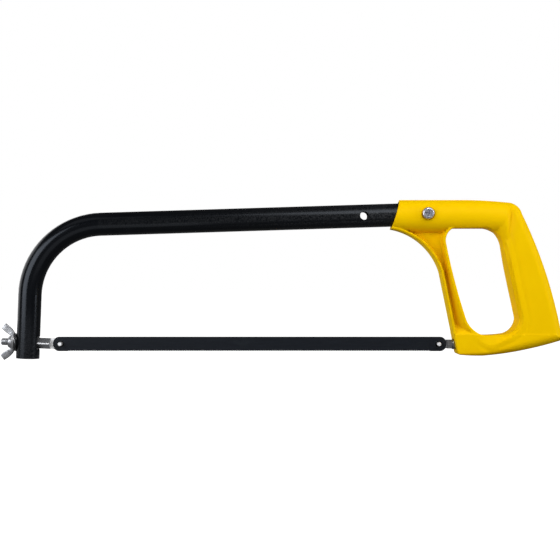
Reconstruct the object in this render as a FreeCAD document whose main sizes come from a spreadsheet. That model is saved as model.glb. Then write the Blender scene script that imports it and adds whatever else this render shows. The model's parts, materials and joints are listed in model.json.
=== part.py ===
import FreeCAD, Part
import Sketcher

import math
import os

# Adjustable tubular hacksaw, in millimetres.
# X runs along the blade towards the handle, Y across the saw, Z up from the teeth to the tube.
# The origin is on the axis of the rear blade pin, in the middle plane of the tube.
# The blade hangs on the -Y side of that plane, and the screw head is on the -Y side too.

Vector = FreeCAD.Vector
UP = Vector(0, 0, 1)
ALONG = Vector(1, 0, 0)
ACROSS = Vector(0, 1, 0)

doc = FreeCAD.newDocument("hacksaw")
sheet = doc.addObject("Spreadsheet::Sheet", "Sizes")

SIZES = [
    # blade
    ("blade_centres", 300.0, "distance between the blade's two holes"),
    ("blade_margin", 6.5, "from a hole's centre to the blade's tip"),
    ("blade_height", 11.6, "back edge to tooth tips"),
    ("blade_back", 5.8, "blade's back edge above the pin axis"),
    ("blade_thickness", 0.65, "sheet thickness"),
    ("blade_corner", 4.6, "rounding of the blade's corners"),
    ("blade_hole", 4.4, "hole diameter"),
    ("tooth_pitch", 1.4, "from tooth to tooth"),
    ("tooth_depth", 0.9, "depth of a gullet"),
    ("plain_end", 12.0, "untoothed length at each end of the blade"),
    ("end_step", 0.15, "tooth tips stand this far below the plain ends"),
    ("blade_play", 0.05, "air between the blade and the tongues behind it"),
    # pins
    ("pin_diameter", 3.2, "both blade pins"),
    ("pin_reach", 4.7, "how far the pins stand out of the middle plane"),
    ("pin_root", 2.7, "how far the pins go into their tongues"),
    ("pin_contact", 0.02, "air between a taut blade's hole and its pin"),
    ("pin_dome", 0.5, "rounding of the pins' free ends"),
    # tube
    ("tube_diameter", 18.4, "outside, with its coating"),
    ("tube_wall", 1.5, "wall thickness"),
    ("tube_height", 103.5, "tube axis above the pins, at the cross screw"),
    ("frame_lean", 1.78, "top run rises towards the handle, degrees"),
    ("leg_lean", 2.0, "leg spreads outwards towards its lower end, degrees"),
    ("leg_offset", 25.9, "front pin to the axis of the leg, along the blade"),
    ("leg_below", 11.4, "leg's open end below the pin axis"),
    ("bend_radius", 58.2, "centre line of the bend"),
    ("bend_flattening", 1.3, "outer wall pulled in at the middle of the bend"),
    ("tube_end_margin", 9.0, "cross screw to the tube's rear end"),
    ("length_step", 50.0, "cross screw to the spare hole: one blade size"),
    ("screw_hole", 6.7, "both cross holes of the tube"),
    # tension gear, measured along the rod from the front pin
    ("rod_tilt", 2.5, "rod rises towards the wing nut, degrees"),
    ("rod_square", 6.4, "side of the square bar, which stands on edge"),
    ("rod_across_edges", 8.6, "bar from edge to edge, with its edges cut off"),
    ("rod_shoulder", 8.4, "front pin to the end of the milled tongue"),
    ("tongue_tip", 5.0, "tongue past the pin"),
    ("square_length", 31.0, "front pin to the start of the thread"),
    ("rod_length", 47.2, "front pin to the threaded end"),
    ("thread_diameter", 5.9, "crests of the thread"),
    ("thread_pitch", 1.0, "one turn of the wing nut"),
    ("thread_depth", 0.6, "crest to root"),
    ("seat_distance", 33.0, "front pin to the washer's seat in the leg"),
    ("seat_diameter", 15.8, "pressed seat of the washer"),
    ("dimple_depth", 1.3, "pressed dimple where the square bar leaves the leg"),
    ("dimple_diameter", 13.0, "width of that dimple"),
    ("washer_diameter", 15.0, "formed washer"),
    ("washer_height", 2.9, "formed washer, along the rod"),
    ("washer_sheet", 1.2, "sheet of the formed washer"),
    ("rod_play", 0.2, "air round the bar and the thread in the leg's holes"),
    ("seat_play", 0.1, "air between nut, washer and seat"),
    ("thread_play", 0.06, "air between the nut's bore and the thread's crests"),
    ("nut_flange", 14.3, "diameter of the wing nut's foot"),
    ("nut_flange_height", 2.2, "thickness of that foot"),
    ("nut_hub_foot", 11.6, "hub diameter at the foot"),
    ("nut_hub_top", 9.0, "hub diameter at its outer end"),
    ("nut_height", 6.6, "foot and hub together"),
    ("nut_edge", 0.4, "cut edges of the foot and of the hub"),
    ("wing_span", 29.6, "tip to tip"),
    ("wing_thickness", 2.4, "each wing"),
    ("wing_reach", 12.0, "wings stand out of the nut's foot face by this much"),
    # handle
    ("grip_width", 28.0, "thickness of the grip across the saw"),
    ("socket_side_wall", 3.3, "top bar's wall on each side of the tube"),
    ("strut_width", 19.0, "thickness of the strut's flanges"),
    ("web_width", 6.0, "web between the strut's two pockets"),
    ("socket_slack", 0.75, "extra radius at the socket's mouth, for the lean of the tube"),
    ("socket_play", 0.15, "extra radius in the deep part of the socket"),
    ("socket_axis_drop", 0.3, "socket axis below the tube axis at the screw"),
    ("socket_top_wall", 2.1, "top bar's wall above the tube"),
    ("socket_low_wall", 1.8, "top bar's wall below the tube"),
    ("socket_mouth", 46.0, "length of the wider part of the socket"),
    ("socket_depth", 92.5, "length of the whole socket, with room for the shorter setting"),
    ("socket_bar_length", 104.0, "length of the rounded top bar"),
    ("bar_corner", 9.0, "rounding of the top bar's long edges"),
    ("handle_back", 96.5, "rear pin to the heel of the grip"),
    ("handle_below", 8.8, "sole of the handle below the pin axis"),
    ("grip_chamfer", 4.5, "cut edges of the grip"),
    ("palm_start", 38.0, "where the base widens from the strut's thickness to the grip's"),
    ("strut_rib", 1.8, "rim between the strut's recess and the finger hole"),
    ("screw_offset", 9.8, "cross screw in front of the rear pin"),
    # cross screw
    ("screw_diameter", 6.0, "shank"),
    ("screw_play", 0.2, "air round the shank in the handle"),
    ("screw_reach", 400.0, "the screw hole's cut, right through the handle"),
    ("driver_slot", 1.4, "width of each slot of the cross recess"),
    ("driver_depth", 1.3, "depth of the cross recess"),
    ("screw_head", 9.3, "head diameter"),
    ("screw_head_height", 2.6, "head height"),
    ("head_recess", 10.9, "counterbore round the head"),
    ("head_recess_depth", 1.2, "depth of that counterbore"),
    ("hex_size", 10.0, "nut across flats"),
    ("hex_height", 3.2, "height of the thin nut"),
    ("hex_play", 0.1, "air round the nut in its pocket"),
    ("hex_sink", 1.6, "depth of the nut's pocket in the handle's far side"),
    ("screw_end", 0.4, "screw past the nut"),
    # rear holder
    ("holder_square", 6.8, "side of the square bar"),
    ("holder_shoulder", 6.4, "rear pin to the end of the tongue"),
    ("holder_bar", 3.7, "length of the full square"),
    ("neck_diameter", 6.4, "round neck and shank"),
    ("collar_diameter", 8.2, "collar that closes the mouth of the handle"),
    ("collar_play", 0.5, "dark gap round the collar in the handle's mouth"),
    ("shank_length", 24.0, "shank inside the handle"),
    ("anchor_diameter", 9.0, "head at the end of the shank, moulded in"),
    ("anchor_height", 3.0, "height of that head"),
    ("block_front", 12.4, "rear pin to the front of the handle's lower block"),
]

for row, (alias, number, note) in enumerate(SIZES, start=1):
    sheet.set("A%d" % row, alias)
    sheet.set("B%d" % row, str(number))
    sheet.set("C%d" % row, note)
    sheet.setAlias("B%d" % row, alias)
doc.recompute()


def size(alias):
    return float(sheet.get(alias))


def cell(expression):
    """An expression over the sheet: every word in it is a cell."""
    words = expression.replace("(", " ( ").replace(")", " ) ").split()
    return " ".join("Sizes." + word if word[0].isalpha() else word for word in words)


# ---------------------------------------------------------------- shared helpers


def new_body(label, placement=None):
    body = doc.addObject("PartDesign::Body", label)
    body.Label = label
    if placement is not None:
        body.Placement = placement
    return body


def new_sketch(body, role, name, offset=0.0):
    """A sketch on one of the body's own origin planes, moved along the plane's normal."""
    plane = [f for f in body.Origin.OriginFeatures if f.Role == role][0]
    sketch = body.newObject("Sketcher::SketchObject", name)
    sketch.AttachmentSupport = [(plane, "")]
    sketch.MapMode = "FlatFace"
    sketch.AttachmentOffset = FreeCAD.Placement(Vector(0, 0, offset), FreeCAD.Rotation())
    return sketch


def draw(sketch, edges):
    """Lay lines and arcs in a sketch: a pair of points is a line, three points are an arc."""
    for edge in edges:
        points = [Vector(a, b, 0) for a, b in edge]
        if len(points) == 2:
            sketch.addGeometry(Part.LineSegment(*points), False)
        else:
            sketch.addGeometry(Part.Arc(*points), False)


def closed_outline(points):
    """Straight edges round a list of points."""
    return [(points[i], points[(i + 1) % len(points)]) for i in range(len(points))]


def draw_circle(sketch, centre_a, centre_b, diameter):
    """A circle whose diameter is an expression over the sheet."""
    circle = Part.Circle(Vector(centre_a, centre_b, 0), UP, 1.0)
    index = sketch.addGeometry(circle, False)
    number = sketch.addConstraint(Sketcher.Constraint("Diameter", index, 2.0))
    sketch.setExpression("Constraints[%d]" % number, cell(diameter))
    sketch.addConstraint(Sketcher.Constraint("Block", index))


def pad(body, sketch, name, length, midplane=False, reverse=False):
    feature = body.newObject("PartDesign::Pad", name)
    feature.Profile = sketch
    feature.Midplane = midplane
    feature.Reversed = reverse
    feature.setExpression("Length", cell(length))
    return feature


def pocket(body, sketch, name, length, midplane=False, reverse=False):
    """Cut a sketch out of a body, and stop if the cut removes nothing."""
    doc.recompute()
    before = body.Shape.Volume
    feature = body.newObject("PartDesign::Pocket", name)
    feature.Profile = sketch
    feature.Midplane = midplane
    feature.Reversed = reverse
    feature.setExpression("Length", cell(length))
    doc.recompute()
    if before - body.Shape.Volume < 0.01:
        raise RuntimeError(name + " cuts nothing")
    return feature


def turn(body, sketch, name, groove=False):
    """Revolve a half section about the sketch's own horizontal axis."""
    kind = "PartDesign::Groove" if groove else "PartDesign::Revolution"
    feature = body.newObject(kind, name)
    feature.Profile = sketch
    feature.ReferenceAxis = (sketch, ["H_Axis"])
    feature.Angle = 360.0
    return feature


def add_solid(label, shape):
    """A sub-part whose shape is worked out here from the sheet."""
    feature = doc.addObject("Part::Feature", label)
    feature.Label = label
    feature.Shape = shape


def cylinder(start, end, radius):
    return Part.makeCylinder(radius, (end - start).Length, start, end - start)


# ---------------------------------------------------------------- places worked out from the sizes

pin_slack = (size("blade_hole") - size("pin_diameter")) / 2 - size("pin_contact")
rear_hole_x = -pin_slack
front_hole_x = rear_hole_x - size("blade_centres")
front_pin_x = front_hole_x - pin_slack
screw_x = -size("screw_offset")
tube_radius = size("tube_diameter") / 2

# Sketches on the XZ plane look along +Y, so a pad that isn't reversed grows towards -Y.
rod_angle = math.radians(size("rod_tilt"))
rod_frame = FreeCAD.Placement(
    Vector(front_pin_x, 0, 0), FreeCAD.Rotation(ACROSS, size("rod_tilt"))
)


# ---------------------------------------------------------------- tube

lean = math.radians(size("frame_lean"))
spread = math.radians(size("leg_lean"))
towards_bend = Vector(-math.cos(lean), 0, -math.sin(lean))
down_leg = Vector(-math.sin(spread), 0, -math.cos(spread))
screw_point = Vector(screw_x, 0, size("tube_height"))
leg_point = Vector(front_pin_x - size("leg_offset"), 0, 0)


def meeting_point(point_a, direction_a, point_b, direction_b):
    """Where two lines of the XZ plane cross."""
    gap = point_b - point_a
    cross = direction_a.x * direction_b.z - direction_a.z * direction_b.x
    reach = (gap.x * direction_b.z - gap.z * direction_b.x) / cross
    return point_a + direction_a * reach


corner = meeting_point(screw_point, towards_bend, leg_point, down_leg)
bend_turn = towards_bend.getAngle(down_leg)
bend_reach = size("bend_radius") * math.tan(bend_turn / 2)
bend_start = corner - towards_bend * bend_reach
bend_end = corner + down_leg * bend_reach
bend_inward = (down_leg - towards_bend).normalize()
bend_centre = corner + bend_inward * (size("bend_radius") / math.cos(bend_turn / 2))
tube_rear = screw_point - towards_bend * size("tube_end_margin")
leg_end = leg_point + down_leg * size("leg_below")


def tube_core(radius):
    """Straight run, bend and leg as one solid rod."""
    profile = Part.Wire([Part.Circle(tube_rear, towards_bend, radius).toShape()])
    middle = bend_centre - bend_inward * size("bend_radius")
    path = Part.Wire(
        [
            Part.LineSegment(tube_rear, bend_start).toShape(),
            Part.Arc(bend_start, middle, bend_end).toShape(),
            Part.LineSegment(bend_end, leg_end).toShape(),
        ]
    )
    return path.makePipeShell([profile], True, True)


def bend_trimmer(wall):
    """What lies outside the flattened outer side of the bend, the wall's thickness further in."""
    outer = size("bend_radius") + tube_radius
    half = math.cos(bend_turn / 2)
    shift = size("bend_flattening") * half / (1 - half)
    centre = bend_centre + bend_inward * shift
    radius = outer + shift / half - wall
    far = corner - bend_inward * (outer * 2)
    wedge = Part.Face(
        Part.makePolygon([centre, bend_start * 2 - bend_centre, far, bend_end * 2 - bend_centre, centre])
    )
    depth = tube_radius * 2
    block = wedge.extrude(ACROSS * (depth * 2)).translated(ACROSS * -depth)
    drum = Part.makeCylinder(radius, depth * 2, centre - ACROSS * depth, ACROSS)
    return block.cut(drum)


def in_rod_frame(shape):
    """Move a shape that is drawn about the rod's own X axis into its place."""
    moved = shape.copy()
    moved.Placement = rod_frame.multiply(moved.Placement)
    return moved


def diamond_bar(across_edges, side, start, end):
    """Square bar on edge with its four edges cut off, along X."""
    tip = across_edges / 2
    reach = side * math.sqrt(0.5)
    flat = max(reach - tip, 0.01)
    corners = [(tip, flat), (flat, tip), (-flat, tip), (-tip, flat)]
    corners += [(-a, -b) for a, b in corners]
    points = [Vector(start, a, b) for a, b in corners]
    return Part.Face(Part.makePolygon(points + points[:1])).extrude(ALONG * (end - start))


seat_x = -size("seat_distance")
leg_axis_x = -size("leg_offset") / math.cos(rod_angle)
dimple_x = leg_axis_x + tube_radius - size("dimple_depth")


def leg_pressing(wall):
    """Metal pressed in at both ends of the rod's hole through the leg, the wall further in."""
    seat_radius = size("seat_diameter") / 2 + wall
    dimple_radius = size("dimple_diameter") / 2 + wall
    seat = cylinder(Vector(seat_x + wall, 0, 0), Vector(seat_x - 20, 0, 0), seat_radius)
    dimple = cylinder(Vector(dimple_x - wall, 0, 0), Vector(dimple_x + 20, 0, 0), dimple_radius)
    return in_rod_frame(seat.fuse(dimple))


def make_tube():
    wall = size("tube_wall")
    inner_radius = tube_radius - wall
    outside = tube_core(tube_radius).cut(bend_trimmer(0.0)).cut(leg_pressing(0.0))
    inside = tube_core(inner_radius).cut(bend_trimmer(wall)).cut(leg_pressing(wall))
    shape = outside.cut(inside)
    play = size("rod_play")
    side = size("rod_square") + 2 * play
    across = size("rod_across_edges") + 2 * play
    bar_hole = diamond_bar(across, side, leg_axis_x, leg_axis_x + 20)
    thread_hole = cylinder(
        Vector(leg_axis_x, 0, 0),
        Vector(leg_axis_x - 20, 0, 0),
        size("thread_diameter") / 2 + play,
    )
    shape = shape.cut(in_rod_frame(bar_hole)).cut(in_rod_frame(thread_hole))
    for distance in (0.0, size("length_step")):
        middle = screw_point + towards_bend * distance
        reach = ACROSS * size("tube_diameter")
        shape = shape.cut(cylinder(middle - reach, middle + reach, size("screw_hole") / 2))
    return shape


add_solid("frame_tube", make_tube())

# ---------------------------------------------------------------- tension gear

rod = new_body("tension_rod", rod_frame)
across = size("rod_across_edges") / 2
flat = size("rod_square") * math.sqrt(0.5) - across
half_ring = [(across, flat), (flat, across), (-flat, across), (-across, flat)]
bar_outline = half_ring + [(-a, -b) for a, b in half_ring]
bar_sketch = new_sketch(rod, "YZ_Plane", "bar_section", -size("square_length"))
draw(bar_sketch, closed_outline(bar_outline))
pad(rod, bar_sketch, "square_bar", "square_length + tongue_tip")

thread_sketch = new_sketch(rod, "XZ_Plane", "thread_section")
crest = size("thread_diameter") / 2
root = crest - size("thread_depth")
pitch = size("thread_pitch")
thread_start = -size("square_length")
thread_end = -size("rod_length")
profile = [(thread_start + pitch, 0), (thread_start + pitch, crest), (thread_start, crest)]
turns = int((size("rod_length") - size("square_length") - pitch) / pitch)
for number in range(turns):
    left = thread_start - number * pitch
    profile += [(left - pitch * 0.5, root), (left - pitch * 0.9, crest), (left - pitch, crest)]
profile += [(thread_end + 0.6, crest), (thread_end, root), (thread_end, 0)]
draw(thread_sketch, closed_outline(profile))
turn(rod, thread_sketch, "thread")

milling = new_sketch(rod, "XZ_Plane", "tongue_milling", -size("blade_play"))
margin = size("rod_square")
milled = [
    (-size("rod_shoulder"), -margin),
    (size("tongue_tip") + margin, -margin),
    (size("tongue_tip") + margin, margin),
    (-size("rod_shoulder"), margin),
]
draw(milling, closed_outline(milled))
pocket(rod, milling, "milled_tongue", "rod_square", reverse=True)
pin_seat = new_sketch(rod, "XZ_Plane", "pin_seat", -size("blade_play"))
draw_circle(pin_seat, 0, 0, "pin_diameter")
pocket(rod, pin_seat, "pin_hole", "pin_root - blade_play")


def make_pin(label, place):
    """Steel peg with a slightly domed free end, across the saw."""
    body = new_body(label, place)
    sketch = new_sketch(body, "XZ_Plane", label + "_section", -size("pin_root"))
    draw_circle(sketch, 0, 0, "pin_diameter")
    pad(body, sketch, label + "_peg", "pin_root + pin_reach")
    doc.recompute()
    edges = [
        "Edge%d" % (i + 1)
        for i, edge in enumerate(body.Shape.Edges)
        if edge.BoundBox.YMax < -size("pin_reach") + 0.01
    ]
    peg = body.Tip
    round_end = body.newObject("PartDesign::Fillet", label + "_dome")
    round_end.Base = (peg, edges)
    round_end.setExpression("Radius", cell("pin_dome"))
    return body


make_pin("front_blade_pin", FreeCAD.Placement(Vector(front_pin_x, 0, 0), FreeCAD.Rotation()))
make_pin("rear_blade_pin", FreeCAD.Placement())

washer = new_body("thrust_washer", rod_frame)
washer_sketch = new_sketch(washer, "XZ_Plane", "washer_section")
washer_in = seat_x - size("seat_play")
washer_out = washer_in - size("washer_height")
washer_bore = size("thread_diameter") / 2 + size("rod_play")
washer_edge = size("washer_diameter") / 2
sheet_gauge = size("washer_sheet")
draw(
    washer_sketch,
    closed_outline(
        [
            (washer_in, washer_bore),
            (washer_in, washer_edge - sheet_gauge * 1.5),
            (washer_in - sheet_gauge, washer_edge - sheet_gauge * 0.5),
            (washer_in - sheet_gauge, washer_edge),
            (washer_out + sheet_gauge * 0.6, washer_edge),
            (washer_out, washer_edge - sheet_gauge * 0.6),
            (washer_out, washer_bore),
        ]
    ),
)
turn(washer, washer_sketch, "washer_disc")

nut = new_body("wing_nut", rod_frame)
nut_sketch = new_sketch(nut, "XZ_Plane", "hub_section")
nut_in = washer_out - size("seat_play")
flange_top = nut_in - size("nut_flange_height")
nut_top = nut_in - size("nut_height")
nut_bore = size("thread_diameter") / 2 + size("thread_play")
flange = size("nut_flange") / 2
nut_edge = size("nut_edge")
draw(
    nut_sketch,
    closed_outline(
        [
            (nut_in, nut_bore),
            (nut_in, flange - nut_edge),
            (nut_in - nut_edge, flange),
            (flange_top + nut_edge, flange),
            (flange_top, flange - 2 * nut_edge),
            (flange_top - nut_edge / 2, size("nut_hub_foot") / 2),
            (nut_top + nut_edge, size("nut_hub_top") / 2 + nut_edge / 4),
            (nut_top, size("nut_hub_top") / 2 - nut_edge),
            (nut_top, nut_bore),
        ]
    ),
)
turn(nut, nut_sketch, "hub")
wing_tip = size("wing_span") / 2
wing_out = nut_in - size("wing_reach")
for side in (1, -1):
    wing = new_sketch(nut, "XZ_Plane", "wing_up" if side > 0 else "wing_down")
    wing_corners = [
        (nut_top + 0.9, side * size("nut_hub_foot") * 0.36),
        (flange_top - 0.2, side * size("nut_hub_foot") * 0.5),
        (flange_top - 0.4, side * (wing_tip - 7.4)),
        (flange_top - 2.0, side * (wing_tip - 4.2)),
        (wing_out + 3.4, side * wing_tip),
        (wing_out + 0.6, side * (wing_tip - 2.6)),
        (wing_out, side * (wing_tip - 4.6)),
        (wing_out + 2.6, side * (wing_tip - 7.2)),
        (nut_top - 0.2, side * size("nut_hub_top") * 0.56),
    ]
    draw(wing, closed_outline(wing_corners))
    pad(nut, wing, "wing_blade_up" if side > 0 else "wing_blade_down", "wing_thickness", midplane=True)

# ---------------------------------------------------------------- blade


def make_blade():
    """Thin strip with round ends, two holes and a row of teeth along its lower edge."""
    left = front_hole_x - size("blade_margin")
    right = rear_hole_x + size("blade_margin")
    top = size("blade_back")
    tips = top - size("blade_height")
    gullets = tips + size("tooth_depth")
    foot = tips + size("end_step")
    cut = size("blade_corner")
    inner = cut * (1 - math.sqrt(0.5))
    step = size("tooth_pitch")
    start = left + size("plain_end")
    count = int((right - size("plain_end") - start) / step)
    end = start + count * step
    teeth = [(left + cut, foot), (start, foot)]
    for number in range(count):
        tooth = start + number * step
        teeth += [(tooth, gullets), (tooth + step * 0.7, tips), (tooth + step * 0.85, tips)]
    teeth += [(end, gullets), (end, foot), (right - cut, foot)]
    edges = [(teeth[i], teeth[i + 1]) for i in range(len(teeth) - 1)]
    edges += [
        ((right - cut, foot), (right - inner, foot + inner), (right, foot + cut)),
        ((right, foot + cut), (right, top - cut)),
        ((right, top - cut), (right - inner, top - inner), (right - cut, top)),
        ((right - cut, top), (left + cut, top)),
        ((left + cut, top), (left + inner, top - inner), (left, top - cut)),
        ((left, top - cut), (left, foot + cut)),
        ((left, foot + cut), (left + inner, foot + inner), (left + cut, foot)),
    ]
    parts = []
    for edge in edges:
        points = [Vector(a, 0, b) for a, b in edge]
        line = Part.LineSegment(*points) if len(points) == 2 else Part.Arc(*points)
        parts.append(line.toShape())
    strip = Part.Face(Part.Wire(parts)).extrude(ACROSS * -size("blade_thickness"))
    for hole_x in (front_hole_x, rear_hole_x):
        middle = Vector(hole_x, 0, 0)
        strip = strip.cut(cylinder(middle - ACROSS, middle + ACROSS, size("blade_hole") / 2))
    return strip


add_solid("blade", make_blade())

# ---------------------------------------------------------------- rear holder

holder = new_body("rear_blade_holder")
half_square = size("holder_square") / 2
square_corners = [(-half_square, -half_square), (half_square, -half_square)]
square_corners += [(half_square, half_square), (-half_square, half_square)]
holder_sketch = new_sketch(holder, "YZ_Plane", "holder_section", -size("tongue_tip"))
draw(holder_sketch, closed_outline(square_corners))
pad(holder, holder_sketch, "holder_bar", "tongue_tip + holder_shoulder + holder_bar")
bar_end = size("holder_shoulder") + size("holder_bar")
mouth = size("block_front")
shank_end = mouth + size("shank_length")
neck = size("neck_diameter") / 2
collar = size("collar_diameter") / 2
anchor = size("anchor_diameter") / 2
shank_outline = [
    (bar_end - 1.0, 0),
    (bar_end - 1.0, neck - 0.4),
    (bar_end + 0.6, neck - 0.4),
    (bar_end + 0.6, collar),
    (mouth - 0.2, collar),
    (mouth - 0.2, neck),
    (shank_end, neck),
    (shank_end, anchor),
    (shank_end + size("anchor_height"), anchor),
    (shank_end + size("anchor_height"), 0),
]
shank_sketch = new_sketch(holder, "XZ_Plane", "shank_section")
draw(shank_sketch, closed_outline(shank_outline))
turn(holder, shank_sketch, "shank")
holder_milling = new_sketch(holder, "XZ_Plane", "holder_milling", -size("blade_play"))
milled = [
    (size("holder_shoulder"), -margin),
    (-size("tongue_tip") - margin, -margin),
    (-size("tongue_tip") - margin, margin),
    (size("holder_shoulder"), margin),
]
draw(holder_milling, closed_outline(milled))
pocket(holder, holder_milling, "holder_tongue", "holder_square", reverse=True)
holder_seat = new_sketch(holder, "XZ_Plane", "holder_pin_seat", -size("blade_play"))
draw_circle(holder_seat, 0, 0, "pin_diameter")
pocket(holder, holder_seat, "holder_pin_hole", "pin_root - blade_play")

# ---------------------------------------------------------------- handle

socket_z = size("tube_height") - size("socket_axis_drop")
top = socket_z + tube_radius + size("socket_top_wall")
underside = socket_z - tube_radius - size("socket_low_wall")
back_x = size("handle_back")
base_z = -size("handle_below")


def bulged(start, end, bulge):
    """The middle point of an arc that stands out of its chord by the bulge, on the chord's left."""
    run = Vector(end[0] - start[0], end[1] - start[1], 0)
    side = Vector(-run.y, run.x, 0).normalize()
    return (
        (start[0] + end[0]) / 2 + side.x * bulge,
        (start[1] + end[1]) / 2 + side.y * bulge,
    )


nose_tip = (-38.2, top - 23.1)
nose_top = (-31.4, top)
crown_start = (22.0, top)
crown_end = (56.9, top - 2.2)
shoulder = (64.8, top - 10.9)
heel = (back_x, 5.6)
heel_low = (back_x - 1.4, 3.1)
sole = (34.0, base_z)
toe = (16.4, base_z + 0.6)
toe_front = (13.6, base_z + 2.3)
block_top = (10.6, 9.6)
strut_top = (0.9, top - 57.1)
outer_outline = [
    (nose_tip, nose_top),
    (nose_top, crown_start),
    (crown_start, bulged(crown_start, crown_end, 0.4), crown_end),
    (crown_end, bulged(crown_end, shoulder, 1.6), shoulder),
    (shoulder, bulged(shoulder, heel, 3.6), heel),
    (heel, bulged(heel, heel_low, 0.5), heel_low),
    (heel_low, bulged(heel_low, sole, 1.7), sole),
    (sole, bulged(sole, toe, 0.25), toe),
    (toe, bulged(toe, toe_front, 0.5), toe_front),
    (toe_front, block_top),
    (block_top, strut_top),
    (strut_top, bulged(strut_top, nose_tip, -7.2), nose_tip),
]
hole_front = (11.0, underside)
hole_back = (36.0, underside)
hole_back_low = (49.6, underside - 12.5)
hole_heel = (62.1, 20.7)
hole_heel_low = (52.3, 8.3)
hole_toe = (34.5, 7.2)
hole_toe_up = (20.9, 19.1)
hole_front_up = (4.9, underside - 12.5)
finger_outline = [
    (hole_front, hole_back),
    (hole_back, bulged(hole_back, hole_back_low, 3.0), hole_back_low),
    (hole_back_low, hole_heel),
    (hole_heel, bulged(hole_heel, hole_heel_low, 2.6), hole_heel_low),
    (hole_heel_low, bulged(hole_heel_low, hole_toe, 0.4), hole_toe),
    (hole_toe, bulged(hole_toe, hole_toe_up, 2.0), hole_toe_up),
    (hole_toe_up, bulged(hole_toe_up, hole_front_up, 1.0), hole_front_up),
    (hole_front_up, bulged(hole_front_up, hole_front, 2.6), hole_front),
]

handle = new_body("handle")
grip_sketch = new_sketch(handle, "XZ_Plane", "grip_outline")
grip_root = (hole_back_low[0] - 5.0, top - 0.9)
heel_corner = (back_x + 0.4, 3.2)
grip_foot = (size("palm_start"), base_z + 0.05)
grip_outline = [
    (grip_root, crown_end),
    (crown_end, shoulder),
    (shoulder, bulged(shoulder, heel_corner, 3.6), heel_corner),
    (heel_corner, bulged(heel_corner, grip_foot, 1.9), grip_foot),
    (grip_foot, (grip_foot[0], hole_toe[1] + 5.0)),
    ((grip_foot[0], hole_toe[1] + 5.0), (grip_root[0], underside - 8.0)),
    ((grip_root[0], underside - 8.0), grip_root),
]
draw(grip_sketch, grip_outline)
pad(handle, grip_sketch, "grip", "grip_width", midplane=True)
doc.recompute()


def rim_edges(shape, half_width):
    """Names of the outer edges of the grip's two flat sides."""
    names = []
    for number, edge in enumerate(shape.Edges, start=1):
        box = edge.BoundBox
        on_side = abs(abs(box.YMin) - half_width) < 0.01 and box.YLength < 0.01
        middle = edge.CenterOfMass
        outside = middle.x > grip_root[0] + 2
        if on_side and outside:
            names.append("Edge%d" % number)
    return names


grip = handle.Tip
rims = rim_edges(handle.Shape, size("grip_width") / 2)
easing = handle.newObject("PartDesign::Chamfer", "grip_easing")
easing.Base = (grip, rims)
easing.setExpression("Size", cell("grip_chamfer"))

core_sketch = new_sketch(handle, "XZ_Plane", "core_outline")
draw(core_sketch, outer_outline)
pad(handle, core_sketch, "core", "strut_width", midplane=True)

half_bar = tube_radius + size("socket_side_wall")
corner_cut = size("bar_corner")
bar_top = top
bar_low = underside - 3.0
bar_points = [
    (-half_bar + corner_cut, bar_top),
    (half_bar - corner_cut, bar_top),
    (half_bar, bar_top - corner_cut),
    (half_bar, bar_low + corner_cut),
    (half_bar - corner_cut, bar_low),
    (-half_bar + corner_cut, bar_low),
    (-half_bar, bar_low + corner_cut),
    (-half_bar, bar_top - corner_cut),
]
arc_middle = corner_cut * (1 - math.sqrt(0.5))
bar_edges = [
    (bar_points[0], bar_points[1]),
    (bar_points[1], (half_bar - arc_middle, bar_top - arc_middle), bar_points[2]),
    (bar_points[2], bar_points[3]),
    (bar_points[3], (half_bar - arc_middle, bar_low + arc_middle), bar_points[4]),
    (bar_points[4], bar_points[5]),
    (bar_points[5], (-half_bar + arc_middle, bar_low + arc_middle), bar_points[6]),
    (bar_points[6], bar_points[7]),
    (bar_points[7], (-half_bar + arc_middle, bar_top - arc_middle), bar_points[0]),
]
bar_sketch = new_sketch(handle, "YZ_Plane", "bar_section", nose_tip[0] - 1.0)
draw(bar_sketch, bar_edges)
pad(handle, bar_sketch, "top_bar", "socket_bar_length")

trim_sketch = new_sketch(handle, "XZ_Plane", "trim_outline")
reach = back_x + 100
frame_corners = [(-reach, -reach), (reach, -reach), (reach, reach + top), (-reach, reach + top)]
draw(trim_sketch, closed_outline(frame_corners))
draw(trim_sketch, outer_outline)
pocket(handle, trim_sketch, "trimmed_ends", "grip_width * 2", midplane=True)

finger_sketch = new_sketch(handle, "XZ_Plane", "finger_outline")
draw(finger_sketch, finger_outline)
pocket(handle, finger_sketch, "finger_hole", "grip_width * 2", midplane=True)

rib = size("strut_rib")
recess_outline = closed_outline(
    [
        (-17.5, underside - 4.2),
        (hole_front_up[0] - rib - 0.6, underside - 4.2),
        (hole_front_up[0] - rib, hole_front_up[1]),
        (8.2, top - 57.1),
        (hole_toe_up[0] - rib - 0.2, hole_toe_up[1]),
        (15.4, 11.4),
        (12.6, 14.0),
        (2.8, top - 57.8),
        (0.2, top - 45.3),
    ]
)
for side in (1, -1):
    name = "recess_front" if side > 0 else "recess_back"
    recess = new_sketch(handle, "XZ_Plane", name, side * size("grip_width") / 2)
    draw(recess, recess_outline)
    pocket(handle, recess, name + "_cut", "(grip_width - web_width) / 2", reverse=side < 0)


def bore(name, plane, start, centre, diameter, length):
    """Round cut into the handle, from a distance along a plane's normal onwards."""
    sketch = new_sketch(handle, plane, name, start)
    draw_circle(sketch, centre[0], centre[1], diameter)
    pocket(handle, sketch, name + "_cut", length, reverse=True)


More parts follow.
